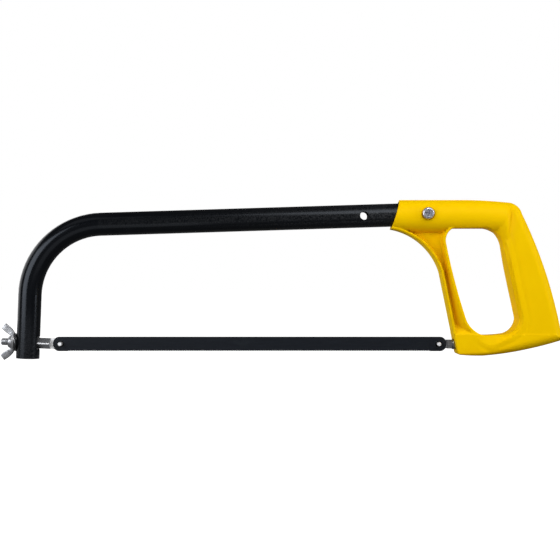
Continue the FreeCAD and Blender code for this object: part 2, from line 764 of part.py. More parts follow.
socket_start = nose_tip[0] - 5.0
socket_centre = (0, socket_z)
socket_mouth = "tube_diameter + 2 * socket_slack"
socket_bottom = "tube_diameter + 2 * socket_play"
bore("socket", "YZ_Plane", socket_start, socket_centre, socket_mouth, "socket_mouth")
bore("deep_socket", "YZ_Plane", socket_start, socket_centre, socket_bottom, "socket_depth")
screw_centre = (screw_x, size("tube_height"))
screw_clearance = "screw_diameter + 2 * screw_play"
bore("screw_hole", "XZ_Plane", -reach, screw_centre, screw_clearance, "screw_reach")
face_offset = half_bar
recess_floor = face_offset - size("head_recess_depth")
bore("head_recess", "XZ_Plane", recess_floor, screw_centre, "head_recess", "grip_width")

hex_sketch = new_sketch(handle, "XZ_Plane", "hex_pocket", -face_offset + size("hex_sink"))
hex_radius = (size("hex_size") / 2 + size("hex_play")) / math.cos(math.pi / 6)


def hexagon(centre, radius):
    return [
        (centre[0] + radius * math.cos(math.pi / 3 * i), centre[1] + radius * math.sin(math.pi / 3 * i))
        for i in range(6)
    ]


draw(hex_sketch, closed_outline(hexagon(screw_centre, hex_radius)))
pocket(handle, hex_sketch, "hex_pocket_cut", "grip_width")

anchor_sketch = new_sketch(handle, "XZ_Plane", "anchor_section")
draw(
    anchor_sketch,
    closed_outline(
        [
            (0, 0),
            (0, collar + size("collar_play")),
            (mouth, collar + size("collar_play")),
            (mouth, neck),
            (shank_end, neck),
            (shank_end, anchor),
            (shank_end + size("anchor_height"), anchor),
            (shank_end + size("anchor_height"), 0),
        ]
    ),
)
turn(handle, anchor_sketch, "anchor_cavity", groove=True)

# ---------------------------------------------------------------- cross screw and its nut

screw_place = FreeCAD.Placement(
    Vector(screw_x, 0, size("tube_height")), FreeCAD.Rotation(UP, 90)
)
# In the screw's own frame its axis is X: +X points to the nut, and the head is at the -X end.
screw = new_body("handle_screw", screw_place)
head_seat = -recess_floor
head_top = head_seat - size("screw_head_height") - size("head_recess_depth")
head = size("screw_head") / 2
shank = size("screw_diameter") / 2
nut_face = face_offset - size("hex_sink")
screw_tip = nut_face + size("hex_height") + size("screw_end")
screw_sketch = new_sketch(screw, "XZ_Plane", "screw_section")
draw(
    screw_sketch,
    [
        ((head_top, 0), (head_top, head * 0.6)),
        ((head_top, head * 0.6), (head_top + 0.35, head * 0.9), (head_top + 1.2, head)),
        ((head_top + 1.2, head), (head_seat, head)),
        ((head_seat, head), (head_seat, shank)),
        ((head_seat, shank), (screw_tip - 0.5, shank)),
        ((screw_tip - 0.5, shank), (screw_tip, shank - 0.5)),
        ((screw_tip, shank - 0.5), (screw_tip, 0)),
        ((screw_tip, 0), (head_top, 0)),
    ],
)
turn(screw, screw_sketch, "screw_shape")
for name, angle in (("slot_a", 0.0), ("slot_b", 90.0)):
    slot = new_sketch(screw, "YZ_Plane", name, head_top)
    half_long = head * 0.6
    half_wide = size("driver_slot") / 2
    slot_corners = [(-half_long, -half_wide), (half_long, -half_wide)]
    slot_corners += [(half_long, half_wide), (-half_long, half_wide)]
    if angle:
        slot_corners = [(b, a) for a, b in slot_corners]
    draw(slot, closed_outline(slot_corners))
    pocket(screw, slot, name + "_cut", "driver_depth", reverse=True)

hex_nut = new_body("handle_screw_nut", screw_place)
hex_nut_sketch = new_sketch(hex_nut, "YZ_Plane", "hex_section", nut_face)
draw(hex_nut_sketch, closed_outline(hexagon((0, 0), size("hex_size") / 2 / math.cos(math.pi / 6))))
pad(hex_nut, hex_nut_sketch, "hex_block", "hex_height")
hex_bore = new_sketch(hex_nut, "YZ_Plane", "hex_bore", nut_face)
draw_circle(hex_bore, 0, 0, "screw_diameter")
pocket(hex_nut, hex_bore, "hex_bore_cut", "hex_height", reverse=True)

# ---------------------------------------------------------------- check and write

doc.recompute()
NODES = [
    "frame_tube",
    "handle",
    "rear_blade_holder",
    "rear_blade_pin",
    "handle_screw",
    "handle_screw_nut",
    "thrust_washer",
    "wing_nut",
    "tension_rod",
    "front_blade_pin",
    "blade",
]
for item in doc.Objects:
    if "Invalid" in item.State or "Error" in item.State:
        raise RuntimeError(item.Label + " did not build")
os.makedirs("parts", exist_ok=True)
for node in NODES:
    shape = doc.getObjectsByLabel(node)[0].Shape
    if shape.isNull() or not shape.isValid() or len(shape.Solids) != 1:
        raise RuntimeError(node + " is not one valid solid")
    print("%-20s %8.1f mm3" % (node, shape.Volume))
for node in NODES:
    doc.getObjectsByLabel(node)[0].Shape.exportStep("parts/" + node + ".step")
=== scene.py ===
# %% [markdown]
# # A hacksaw, dressed for the camera
# The saw arrives as a finished mechanical model: every part already has its place, its size and
# the way it moves. This lesson puts the looks on top. It builds the pieces whose real shape is
# softer or finer than the mechanical model, and gives every part a finish made of shader nodes.
# Nothing here moves a mechanical part. All distances are in metres, and `MM` turns millimetres
# into metres.

# %% Load the saw
import json
import math

import bmesh
import bpy
import numpy as np
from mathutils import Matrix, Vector
from mathutils.geometry import delaunay_2d_cdt


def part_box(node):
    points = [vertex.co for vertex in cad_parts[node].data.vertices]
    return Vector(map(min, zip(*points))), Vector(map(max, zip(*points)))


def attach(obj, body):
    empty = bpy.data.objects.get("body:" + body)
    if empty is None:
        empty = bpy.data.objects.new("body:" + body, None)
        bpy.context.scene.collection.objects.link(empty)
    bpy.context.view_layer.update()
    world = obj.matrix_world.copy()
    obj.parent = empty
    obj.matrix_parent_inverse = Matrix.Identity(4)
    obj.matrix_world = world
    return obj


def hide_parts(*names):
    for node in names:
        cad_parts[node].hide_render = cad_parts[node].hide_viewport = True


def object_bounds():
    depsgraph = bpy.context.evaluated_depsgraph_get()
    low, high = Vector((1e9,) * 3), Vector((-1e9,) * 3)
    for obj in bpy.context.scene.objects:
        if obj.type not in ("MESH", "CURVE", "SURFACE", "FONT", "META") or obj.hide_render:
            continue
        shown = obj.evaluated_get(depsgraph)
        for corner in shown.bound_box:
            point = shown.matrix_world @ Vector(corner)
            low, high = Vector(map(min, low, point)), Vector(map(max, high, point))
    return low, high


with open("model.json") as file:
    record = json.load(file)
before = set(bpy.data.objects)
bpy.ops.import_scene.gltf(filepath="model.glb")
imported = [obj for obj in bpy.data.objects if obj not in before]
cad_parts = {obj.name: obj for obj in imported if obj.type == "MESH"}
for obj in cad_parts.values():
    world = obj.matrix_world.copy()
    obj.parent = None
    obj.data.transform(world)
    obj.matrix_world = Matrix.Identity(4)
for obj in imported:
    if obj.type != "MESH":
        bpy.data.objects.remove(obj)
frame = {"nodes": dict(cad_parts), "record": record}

MM = 0.001
cad_low, cad_high = [Vector(corner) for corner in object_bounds()]
record = frame["record"]
joints = {joint["name"]: joint for joint in record["behaviour"]["joints"]}
mounts = {mount["name"]: mount for mount in record["mounts"]}
print("whole saw, mm:", [round(side / MM, 1) for side in cad_high - cad_low])

# %% [markdown]
# ## Places taken from the mechanical model
# A piece that is remade has to fit the parts that are not, so its places are read from them:
# the pins give the blade's holes, the turning axis of the wing nut gives the tilt of the tension
# rod, and the boxes of the parts give the ends. Reading them beats typing them again, because
# the looks then follow when the design changes.

# %% Key places


def box_mm(node):
    """Lowest and highest corner of a part, in millimetres."""
    low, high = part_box(node)
    return low / MM, high / MM


rear_pin = Vector(mounts["rear_blade_seat"]["pos_m"]) / MM
front_pin = Vector(mounts["front_blade_seat"]["pos_m"]) / MM
rod_outward = Vector(joints["wing_nut_turn"]["axis"]).normalized()
screw_low, screw_high = box_mm("handle_screw")
screw_x = (screw_low.x + screw_high.x) / 2
screw_z = (screw_low.z + screw_high.z) / 2
handle_low, handle_high = box_mm("handle")
tube_low, tube_high = box_mm("frame_tube")
tube_radius = (tube_high.y - tube_low.y) / 2
print("tube radius %.2f mm, handle top %.1f mm" % (tube_radius, handle_high.z))

# %% [markdown]
# ## Node helpers
# Every finish is a small graph of shader nodes. Writing each node and each link on its own line
# would hide what the graph does, so one helper adds a node and fills its inputs at once: a plain
# value is typed in, and another node's output is linked. The rest are the graph pieces that come
# back everywhere: a mix of two numbers, a mix of two colours and a change of range.

# %% Node helpers


def feed(tree, socket, value):
    """Link an input to another node's output, or set its plain value."""
    if isinstance(value, bpy.types.NodeSocket):
        tree.links.new(value, socket)
    else:
        socket.default_value = value


def add_node(tree, kind, *ordered, **named):
    """A node whose first inputs are filled in order. A name fills the input of that name, with
    _ for a space; a name that no input has is a property of the node."""
    node = tree.nodes.new("ShaderNode" + kind)
    node.location = (240 * (len(tree.nodes) % 5), -280 * (len(tree.nodes) // 5))
    for label, value in named.items():
        socket = node.inputs.get(label.replace("_", " "))
        if socket is None:
            setattr(node, label, value)
        else:
            feed(tree, socket, value)
    for socket, value in zip(node.inputs, ordered):
        feed(tree, socket, value)
    return node


def maths(tree, operation, first, second):
    """Sum, difference or product of two numbers."""
    return add_node(tree, "Math", first, second, operation=operation).outputs[0]


def mix_numbers(tree, share, low, high):
    """Number between two others, by a share from 0 to 1."""
    node = add_node(tree, "Mix", share, data_type="FLOAT")
    feed(tree, node.inputs[2], low)
    feed(tree, node.inputs[3], high)
    return node.outputs[0]


def mix_colours(tree, mask, low, high, share=1.0):
    """Colour between two others by a mask, with at most a share of the second one."""
    if share < 1.0:
        mask = maths(tree, "MULTIPLY", mask, share)
    node = add_node(tree, "Mix", mask, data_type="RGBA")
    for socket, colour in ((node.inputs[6], low), (node.inputs[7], high)):
        feed(tree, socket, (*colour, 1.0) if isinstance(colour, tuple) else colour)
    return node.outputs[2]


def ranged(tree, value, low, high, start=0.0, end=1.0, curve="LINEAR"):
    """A value between start and end, moved to the range from low to high."""
    return add_node(
        tree, "MapRange", interpolation_type=curve, Value=value,
        From_Min=start, From_Max=end, To_Min=low, To_Max=high,
    ).outputs["Result"]


print("node helpers ready")

# %% [markdown]
# ## Camera
# A tool portrait is taken from a good distance with a long lens, so that the blade stays
# straight and the handle isn't swollen by perspective. The camera looks along +Y, square to the
# saw, from 0.9 m. The width of the picture is chosen so that the saw just fills it.

# %% Camera
PICTURE_WIDTH = 0.4463
CAMERA_DISTANCE = 0.90
SENSOR_MM = 36.0
VIEW_CENTRE = Vector((-0.1264, 0.0, 0.0510))

lens_data = bpy.data.cameras.new("portrait_lens")
lens_data.sensor_width = SENSOR_MM
lens_data.lens = SENSOR_MM * CAMERA_DISTANCE / PICTURE_WIDTH
lens_data.clip_start = 0.05
lens_data.clip_end = 20.0
camera = bpy.data.objects.new("portrait_camera", lens_data)
camera.location = VIEW_CENTRE - Vector((0, CAMERA_DISTANCE, 0))
camera.rotation_euler = (math.radians(90), 0, 0)
bpy.context.scene.collection.objects.link(camera)
bpy.context.scene.camera = camera
print("lens %.1f mm" % lens_data.lens)

# %% [markdown]
# ## Light and floor
# Shiny yellow plastic and black paint show their form by what they reflect, so the light comes
# from large soft boxes instead of lamps. The main one stands high on the right and draws the
# broad bright band along the top of the tube, with a weak one high on the left. Upright ones on
# the left and right draw the two bands down the front leg, and one behind on the left gives the
# pale rim. A weak card in front and one lying low on the left keep the shadows open. A box is
# an area light, which Blender already softens with its size. The floor is a plain sheet. The
# floor and the surroundings are white where the camera sees them directly, but only dark grey
# as a light, because black paint would look grey in an all-white room.

# %% Soft boxes
lowest_point = cad_low.z
COOL = (0.93, 0.96, 1.0)


def soft_box(name, place, aim, width, height, power, tint=(1.0, 1.0, 1.0)):
    """A rectangular soft light at a place, turned towards an aim."""
    lamp_data = bpy.data.lights.new(name, "AREA")
    lamp_data.shape = "RECTANGLE"
    lamp_data.size = width
    lamp_data.size_y = height
    lamp_data.energy = power
    lamp_data.color = tint
    lamp = bpy.data.objects.new(name, lamp_data)
    lamp.location = place
    lamp.rotation_euler = (Vector(aim) - Vector(place)).to_track_quat("-Z", "Y").to_euler()
    lamp.visible_camera = False
    bpy.context.scene.collection.objects.link(lamp)


soft_box("key_right", (0.38, -0.80, 0.92), (0.06, 0, 0.06), 1.10, 0.80, 10.8)
soft_box("high_left", (-0.75, -0.55, 1.10), (-0.15, 0, 0.05), 0.7, 0.5, 0.55)
soft_box("fill_left", (-1.05, -0.75, 0.20), (-0.20, 0, 0.04), 0.80, 0.9, 11.5, COOL)
soft_box("fill_right", (1.00, -0.35, 0.15), (-0.20, 0, 0.04), 0.34, 0.8, 5.5, COOL)
soft_box("rim_left", (-0.95, 0.55, 0.25), (-0.30, 0, 0.06), 1.3, 0.8, 5.0)
soft_box("low_left", (-0.42, -0.26, lowest_point + 0.002), (-0.42, -0.26, 1.0), 0.45, 0.30, 0.25)
soft_box("front_card", (-0.126, -1.45, 0.18), (-0.126, 0, 0.05), 1.2, 0.8, 0.35)
print("soft boxes:", len(bpy.data.lights))

# %% Floor and surroundings
FLOOR_REACH = 6.0
FLOOR_GAP = 0.0002


def light_and_look(tree, socket, as_light, as_seen):
    """A strength with one value as a light and another where the camera looks straight at it."""
    seen = add_node(tree, "LightPath").outputs["Is Camera Ray"]
    feed(tree, socket, ranged(tree, seen, as_light, as_seen))


floor_mesh = bpy.data.meshes.new("pale_floor")
floor_corners = [(-1, -1), (1, -1), (1, 1), (-1, 1)]
floor_mesh.from_pydata(
    [(x * FLOOR_REACH, y * FLOOR_REACH, 0) for x, y in floor_corners], [], [(0, 1, 2, 3)]
)
floor = bpy.data.objects.new("pale_floor", floor_mesh)
floor.location.z = lowest_point - FLOOR_GAP
bpy.context.scene.collection.objects.link(floor)
floor_paint = bpy.data.materials.new("floor_paper")
floor_paint.use_nodes = True
paper = floor_paint.node_tree.nodes["Principled BSDF"].inputs
paper["Base Color"].default_value = (0.12, 0.12, 0.12, 1)
paper["Roughness"].default_value = 0.8
paper["Emission Color"].default_value = (1, 1, 1, 1)
light_and_look(floor_paint.node_tree, paper["Emission Strength"], 0.06, 1.05)
floor_mesh.materials.append(floor_paint)

surroundings = bpy.data.worlds.new("white_room")
surroundings.use_nodes = True
backdrop = surroundings.node_tree.nodes["Background"].inputs
backdrop["Color"].default_value = (1, 1, 1, 1)
light_and_look(surroundings.node_tree, backdrop["Strength"], 0.06, 1.0)
bpy.context.scene.world = surroundings
bpy.context.scene.view_settings.view_transform = "Standard"
print("floor %.1f mm below the blade pins" % (-floor.location.z / MM))

# %% [markdown]
# ## Shared surface effects
# Real surfaces are never one flat number. Six effects come back on several finishes: the fine
# grain of a moulded or sprayed skin, the long streaks that a rolling mill or a drawing die
# leaves, the blotches of plating and of handling, the rub that shows first on edges, a painted
# shade round a pin, and a painted highlight on the faces square across the saw.
# Each one is a node group, built once here and placed in each material with its own values. A
# group only puts out masks and heights; the shader stays in the material, where its plain
# numbers are easy to find. Object coordinates are in metres, so the groups first multiply by
# 1000 and their scales are then counts per millimetre.

# %% Group helpers


def new_group(name, numbers, outputs):
    """An empty shader group with number inputs; gives the group, its inputs and its outputs."""
    group = bpy.data.node_groups.new(name, "ShaderNodeTree")
    for label, default in numbers.items():
        socket = group.interface.new_socket(label, in_out="INPUT", socket_type="NodeSocketFloat")
        socket.default_value = default
    for label in outputs:
        group.interface.new_socket(label, in_out="OUTPUT", socket_type="NodeSocketFloat")
    entry = group.nodes.new("NodeGroupInput")
    leave = group.nodes.new("NodeGroupOutput")
    leave.location.x = 1300
    return group, entry.outputs, leave.inputs


def scaled_by(tree, place, factor):
    """Coordinates times a factor for each axis."""
    return add_node(tree, "VectorMath", place, factor, operation="MULTIPLY").outputs[0]


def coordinates_mm(tree):
    """Object coordinates in millimetres."""
    return scaled_by(tree, add_node(tree, "TexCoord").outputs["Object"], (1000, 1000, 1000))


def noise(tree, place, per_mm, **settings):
    """Value of a noise texture whose scale is a count per millimetre."""
    return add_node(tree, "TexNoise", Vector=place, Scale=per_mm, **settings).outputs["Fac"]


print("group helpers ready")

# %% Skin grain: moulded plastic and sprayed paint
skin_grain, given, result = new_group(
    "skin_grain", {"Grains per mm": 1.2, "Ripple per mm": 0.12, "Ripple share": 0.5}, ("Height", "Shade")
)
place = coordinates_mm(skin_grain)
fine = noise(skin_grain, place, given["Grains per mm"], Detail=3.0, Roughness=0.55)
slow = noise(skin_grain, place, given["Ripple per mm"], Detail=2.0, Roughness=0.45)
feed(skin_grain, result["Height"], mix_numbers(skin_grain, given["Ripple share"], fine, slow))
feed(skin_grain, result["Shade"], slow)
print(skin_grain.name, "nodes", len(skin_grain.nodes))

# %% Drawn streaks: rolled, drawn and milled metal
drawn_streaks, given, result = new_group(
    "drawn_streaks",
    {"Streaks per mm": 3.0, "Stretch X": 0.05, "Stretch Y": 1.0, "Stretch Z": 1.0},
    ("Height", "Shade"),
)
stretch = add_node(drawn_streaks, "CombineXYZ", *[given["Stretch " + axis] for axis in "XYZ"])
place = scaled_by(drawn_streaks, coordinates_mm(drawn_streaks), stretch.outputs[0])
lines = noise(drawn_streaks, place, given["Streaks per mm"], Detail=4.0, Roughness=0.65)
feed(drawn_streaks, result["Height"], lines)
feed(drawn_streaks, result["Shade"], ranged(drawn_streaks, lines, 0.0, 1.0, 0.3, 0.7))
print(drawn_streaks.name, "nodes", len(drawn_streaks.nodes))

# %% Handling blotches: plating clouds, finger marks and dust
handling_blotches, given, result = new_group(
    "handling_blotches", {"Blotches per mm": 0.08, "Coverage": 0.4, "Softness": 0.2}, ("Mask",)
)
place = coordinates_mm(handling_blotches)
cloud = noise(
    handling_blotches, place, given["Blotches per mm"], Detail=6.0, Roughness=0.6, Distortion=0.6
)
edge = maths(handling_blotches, "SUBTRACT", 1.0, given["Coverage"])
far_edge = maths(handling_blotches, "ADD", edge, given["Softness"])
mask = ranged(handling_blotches, cloud, 0.0, 1.0, edge, far_edge, "SMOOTHSTEP")
feed(handling_blotches, result["Mask"], mask)
print(handling_blotches.name, "nodes", len(handling_blotches.nodes))

# %% Edge rub: the wear that starts on proud edges
edge_rub, given, result = new_group("edge_rub", {"Reach": 0.06, "Breaks per mm": 0.6}, ("Mask",))
NEARLY_FLAT = 0.55
limit = maths(edge_rub, "ADD", NEARLY_FLAT, given["Reach"])
sharpness = add_node(edge_rub, "NewGeometry").outputs["Pointiness"]
proud = ranged(edge_rub, sharpness, 0.0, 1.0, NEARLY_FLAT, limit, "SMOOTHSTEP")
breaks = noise(edge_rub, coordinates_mm(edge_rub), given["Breaks per mm"], Detail=4.0, Roughness=0.6)
broken = ranged(edge_rub, breaks, 0.0, 1.0, 0.38, 0.62)
feed(edge_rub, result["Mask"], maths(edge_rub, "MULTIPLY", proud, broken))
print(edge_rub.name, "nodes", len(edge_rub.nodes))

# %% Painted shade round a pin
PIN_SHADE_FADE = 0.8
pin_shade_round, given, result = new_group("pin_shade_round", {"Pin X": 0.0, "Pin Z": 0.0, "Reach": 2.6}, ("Mask",))
flat = scaled_by(pin_shade_round, coordinates_mm(pin_shade_round), (1, 0, 1))
pin_place = add_node(pin_shade_round, "CombineXYZ", given["Pin X"], 0.0, given["Pin Z"]).outputs[0]
away = add_node(pin_shade_round, "VectorMath", flat, pin_place, operation="DISTANCE").outputs["Value"]
far = maths(pin_shade_round, "ADD", given["Reach"], PIN_SHADE_FADE)
feed(pin_shade_round, result["Mask"], ranged(pin_shade_round, away, 1.0, 0.0, given["Reach"], far, "SMOOTHSTEP"))
print(pin_shade_round.name, "nodes", len(pin_shade_round.nodes))

# %% Side highlight: a painted highlight on the flats square across the saw
side_face_highlight, given, result = new_group("side_face_highlight", {}, ("Mask",))
normal = add_node(side_face_highlight, "TexCoord").outputs["Normal"]
across = add_node(side_face_highlight, "SeparateXYZ", normal).outputs["Y"]
squareness = add_node(side_face_highlight, "Math", across, operation="ABSOLUTE").outputs[0]
feed(side_face_highlight, result["Mask"], ranged(side_face_highlight, squareness, 0.0, 1.0, 0.93, 0.98))
print(side_face_highlight.name, "nodes", len(side_face_highlight.nodes))

# %% [markdown]
# ## Finishes
# A finish is one Principled shader. Its uniform numbers, such as metalness or the strength of
# the lacquer, are typed straight into the shader. The things that change over the surface come
# from the shared groups: two colours mixed by a mask, two roughness values mixed by another,
# and a height that a Bump node turns into relief. A few helpers wire that pattern, so each
# finish is a short list of values that can be read and changed. The yellow also carries painted
# shade: it is painted a deeper orange in inner corners, where shade falls and light passes from
# wall to wall. The zinc, the rod and the pins are set short of full metal, which keeps them light
# where they reflect the dark room.

# %% Finish helpers


def place_group(tree, group, **values):
    """A shared group in a material, with its own input values; gives its outputs."""
    return add_node(tree, "Group", node_tree=group, **values).outputs


def relief(tree, shader, height, strength, depth_mm):
    """Turn a height into relief, on top of any relief that the shader has already."""
    bump = add_node(tree, "Bump", Height=height, Strength=strength, Distance=depth_mm * MM)
    normal = shader.inputs["Normal"]
    if normal.is_linked:
        feed(tree, bump.inputs["Normal"], normal.links[0].from_socket)
    feed(tree, normal, bump.outputs["Normal"])


def new_finish(name, **numbers):
    """A material with one Principled shader whose plain numbers are set directly."""
    material = bpy.data.materials.new(name)
    material.use_nodes = True
    shader = material.node_tree.nodes["Principled BSDF"]
    for label, value in numbers.items():
        shader.inputs[label.replace("_", " ")].default_value = value
    return material, material.node_tree, shader


def coat_with(tree, shader, colour, roughness):
    """Give the shader its varying colour and roughness."""
    feed(tree, shader.inputs["Base Color"], colour)
    feed(tree, shader.inputs["Roughness"], roughness)


def dress(material, *nodes):
    """Give carried parts a finish."""
    for node in nodes:
        mesh = frame["nodes"][node].data
        mesh.materials.clear()
        mesh.materials.append(material)


print("finish helpers ready")

# %% Black tube paint
tube_paint, tree, shader = new_finish(
    "satin_black_paint", Specular_IOR_Level=0.22, Specular_Tint=(0.82, 0.89, 1.0, 1.0)
)
grain = place_group(tree, skin_grain, Grains_per_mm=1.6, Ripple_per_mm=0.10, Ripple_share=0.35)
dust = place_group(tree, handling_blotches, Blotches_per_mm=0.035, Coverage=0.48, Softness=0.25)
rub = place_group(tree, edge_rub, Reach=0.10, Breaks_per_mm=0.8)
black = mix_colours(tree, grain["Shade"], (0.0012, 0.0015, 0.0022), (0.0024, 0.0029, 0.0040))
dusted = mix_colours(tree, dust["Mask"], black, (0.005, 0.0055, 0.0065), share=0.5)
rubbed = mix_colours(tree, rub["Mask"], dusted, (0.055, 0.056, 0.058), share=0.6)
coat_with(tree, shader, rubbed, ranged(tree, dust["Mask"], 0.19, 0.25))
relief(tree, shader, grain["Height"], 0.25, 0.006)
dress(tube_paint, "frame_tube")
print(tube_paint.name)

# %% Yellow handle plastic
handle_plastic, tree, shader = new_finish(
    "yellow_moulding", IOR=1.40, Specular_IOR_Level=0.03, Subsurface_Weight=0.06,
    Subsurface_Scale=1.5 * MM, Subsurface_Radius=(1.0, 0.6, 0.1),
)
grain = place_group(tree, skin_grain, Grains_per_mm=1.1, Ripple_per_mm=0.07, Ripple_share=0.45)
marks = place_group(tree, handling_blotches, Blotches_per_mm=0.05, Coverage=0.46, Softness=0.3)
rub = place_group(tree, edge_rub, Reach=0.08, Breaks_per_mm=0.25)
yellow = mix_colours(tree, grain["Shade"], (0.930, 0.560, 0.0002), (0.975, 0.610, 0.0004))
marked = mix_colours(tree, marks["Mask"], yellow, (0.90, 0.52, 0.0004), share=0.30)
worn = mix_colours(tree, rub["Mask"], marked, (1.0, 0.70, 0.004), share=0.5)
# Painted shade: an ambient occlusion mask darkens the yellow to deep orange in inner corners and recesses.
openness = add_node(tree, "AmbientOcclusion", samples=8, Distance=11 * MM).outputs["AO"]
painted_corner_shade = mix_colours(tree, openness, (0.72, 0.36, 0.0001), worn)
coat_with(tree, shader, painted_corner_shade, ranged(tree, marks["Mask"], 0.40, 0.50))
relief(tree, shader, grain["Height"], 0.20, 0.05)
print(handle_plastic.name)

# %% Blue-black blade
blade_finish, tree, shader = new_finish("blue_black_steel", Specular_IOR_Level=0.16)
rolled = place_group(tree, drawn_streaks, Streaks_per_mm=1.8, Stretch_X=0.03)
cloud = place_group(tree, handling_blotches, Blotches_per_mm=0.06, Coverage=0.45, Softness=0.3)
rub = place_group(tree, edge_rub, Reach=0.10, Breaks_per_mm=1.2)
dark = mix_colours(tree, rolled["Shade"], (0.0075, 0.0092, 0.0125), (0.0125, 0.0150, 0.0205))
clouded = mix_colours(tree, cloud["Mask"], dark, (0.018, 0.024, 0.026), share=0.5)
worn = mix_colours(tree, rub["Mask"], clouded, (0.13, 0.13, 0.12), share=0.45)
coat_with(tree, shader, worn, ranged(tree, cloud["Mask"], 0.38, 0.50))
relief(tree, shader, rolled["Height"], 0.15, 0.04)
print(blade_finish.name)

# %% Bright zinc, used on the screw, its nut and the wing nut


def zinc_finish(name, light, dark_tone, blotch_scale, gloss, dents):
    """Plated metal: clouded brightness, fine scratches and darker rubbed-in dirt."""
    material, tree, shader = new_finish(name, Metallic=0.85)
    cloud = place_group(
        tree, handling_blotches, Blotches_per_mm=blotch_scale, Coverage=0.56, Softness=0.14
    )
    fine = place_group(tree, drawn_streaks, Streaks_per_mm=4.0, Stretch_X=0.6, Stretch_Z=0.25)
    base = mix_colours(tree, cloud["Mask"], light, dark_tone)
    scratched = mix_colours(tree, fine["Shade"], base, (0.72, 0.73, 0.75), share=0.30)
    coat_with(tree, shader, scratched, ranged(tree, cloud["Mask"], *gloss))
    relief(tree, shader, cloud["Mask"], dents, 0.05)
    relief(tree, shader, fine["Height"], 0.25, 0.03)
    return material


screw_zinc = zinc_finish(
    "bright_zinc_screw", (0.78, 0.79, 0.86), (0.34, 0.34, 0.46), 0.55, gloss=(0.20, 0.38), dents=0.35
)
nut_zinc = zinc_finish(
    "bright_zinc_nut", (0.36, 0.36, 0.37), (0.20, 0.20, 0.21), 0.35, gloss=(0.30, 0.40), dents=0.10
)
dress(screw_zinc, "handle_screw", "handle_screw_nut")
print(screw_zinc.name, nut_zinc.name)

# %% Drawn and milled steel, used on the rod, the rear holder and the pins


def steel_finish(name, bright, dull, streaks, roughness, shaded_pin=None, highlight_sides=False, metal=1.0):
    """Steel with tool marks: streaks in colour, gloss and relief, and rubbed bright edges."""
    material, tree, shader = new_finish(name, Metallic=metal)
    drawn = place_group(tree, drawn_streaks, **streaks)
    rub = place_group(tree, edge_rub, Reach=0.08, Breaks_per_mm=1.5)
    cloud = place_group(tree, handling_blotches, Blotches_per_mm=0.25, Coverage=0.45, Softness=0.3)
    base = mix_colours(tree, drawn["Shade"], dull, bright)
    stained = mix_colours(tree, cloud["Mask"], base, dull, share=0.5)
    colour = mix_colours(tree, rub["Mask"], stained, (0.86, 0.86, 0.86), share=0.7)
    gloss = ranged(tree, drawn["Shade"], *roughness)
    if highlight_sides:
        # Painted highlight: faces square across the saw are made near white and duller, for the light they
        # catch.
        highlight_face = place_group(tree, side_face_highlight)["Mask"]
        colour = mix_colours(tree, highlight_face, colour, (0.97, 0.97, 0.98))
        gloss = mix_numbers(tree, highlight_face, gloss, 0.56)
    if shaded_pin is not None:
        # Painted shade: the steel turns near black round the pin, where the gap behind the blade lies in
        # shadow.
        pin_shade = place_group(tree, pin_shade_round, Pin_X=shaded_pin.x, Pin_Z=shaded_pin.z)
        colour = mix_colours(tree, pin_shade["Mask"], colour, (0.012, 0.012, 0.013))
    coat_with(tree, shader, colour, gloss)
    relief(tree, shader, drawn["Height"], 0.3, 0.04)
    return material


rod_steel = steel_finish(
    "drawn_rod_steel", (0.62, 0.63, 0.65), (0.26, 0.265, 0.275),
    dict(Streaks_per_mm=1.6, Stretch_X=1.6, Stretch_Y=0.3, Stretch_Z=0.15), (0.32, 0.20), front_pin,
    highlight_sides=True, metal=0.85,
)
holder_steel = steel_finish(
    "milled_holder_steel", (0.42, 0.425, 0.44), (0.20, 0.205, 0.215),
    dict(Streaks_per_mm=1.2, Stretch_X=0.25, Stretch_Y=0.6, Stretch_Z=1.4), (0.45, 0.32), rear_pin,
)
pin_steel = steel_finish(
    "turned_pin_steel", (0.88, 0.88, 0.89), (0.66, 0.66, 0.67),
    dict(Streaks_per_mm=4.0, Stretch_X=1.0, Stretch_Y=0.4, Stretch_Z=1.0), (0.34, 0.24),
    highlight_sides=True, metal=0.45,
)
dress(holder_steel, "rear_blade_holder")
dress(pin_steel, "front_blade_pin", "rear_blade_pin")
print("steel finishes:", rod_steel.name, holder_steel.name, pin_steel.name)

# %% Black oxide washer
washer_black, tree, shader = new_finish("black_oxide", Coat_Weight=1.0, Coat_Roughness=0.07)
ripple = place_group(tree, skin_grain, Grains_per_mm=1.4, Ripple_per_mm=0.45, Ripple_share=0.7)
rub = place_group(tree, edge_rub, Reach=0.06, Breaks_per_mm=0.9)
oxide = mix_colours(tree, ripple["Shade"], (0.0025, 0.0028, 0.0035), (0.006, 0.0065, 0.0075))
worn = mix_colours(tree, rub["Mask"], oxide, (0.30, 0.30, 0.31), share=0.35)
coat_with(tree, shader, worn, ranged(tree, ripple["Shade"], 0.22, 0.40))
relief(tree, shader, ripple["Height"], 0.5, 0.25)
print(washer_black.name)

# %% [markdown]
# ## Handle, step 1: outlines
# The handle is one yellow moulding. Seen from the side it has an outer outline and a finger
# hole, both made of straight runs and arcs. An outline is kept as a list of corners, each with
# the bulge of the arc that leads to the next corner, because a maker reads and changes that
# more easily than a long list of points. Heights are counted down from the top of the handle.

# %% Outlines of the handle
top = handle_high.z
socket_z = screw_z - 0.3
underside = socket_z - tube_radius - 1.8
base_z = handle_low.z + 0.01
back_x = handle_high.x

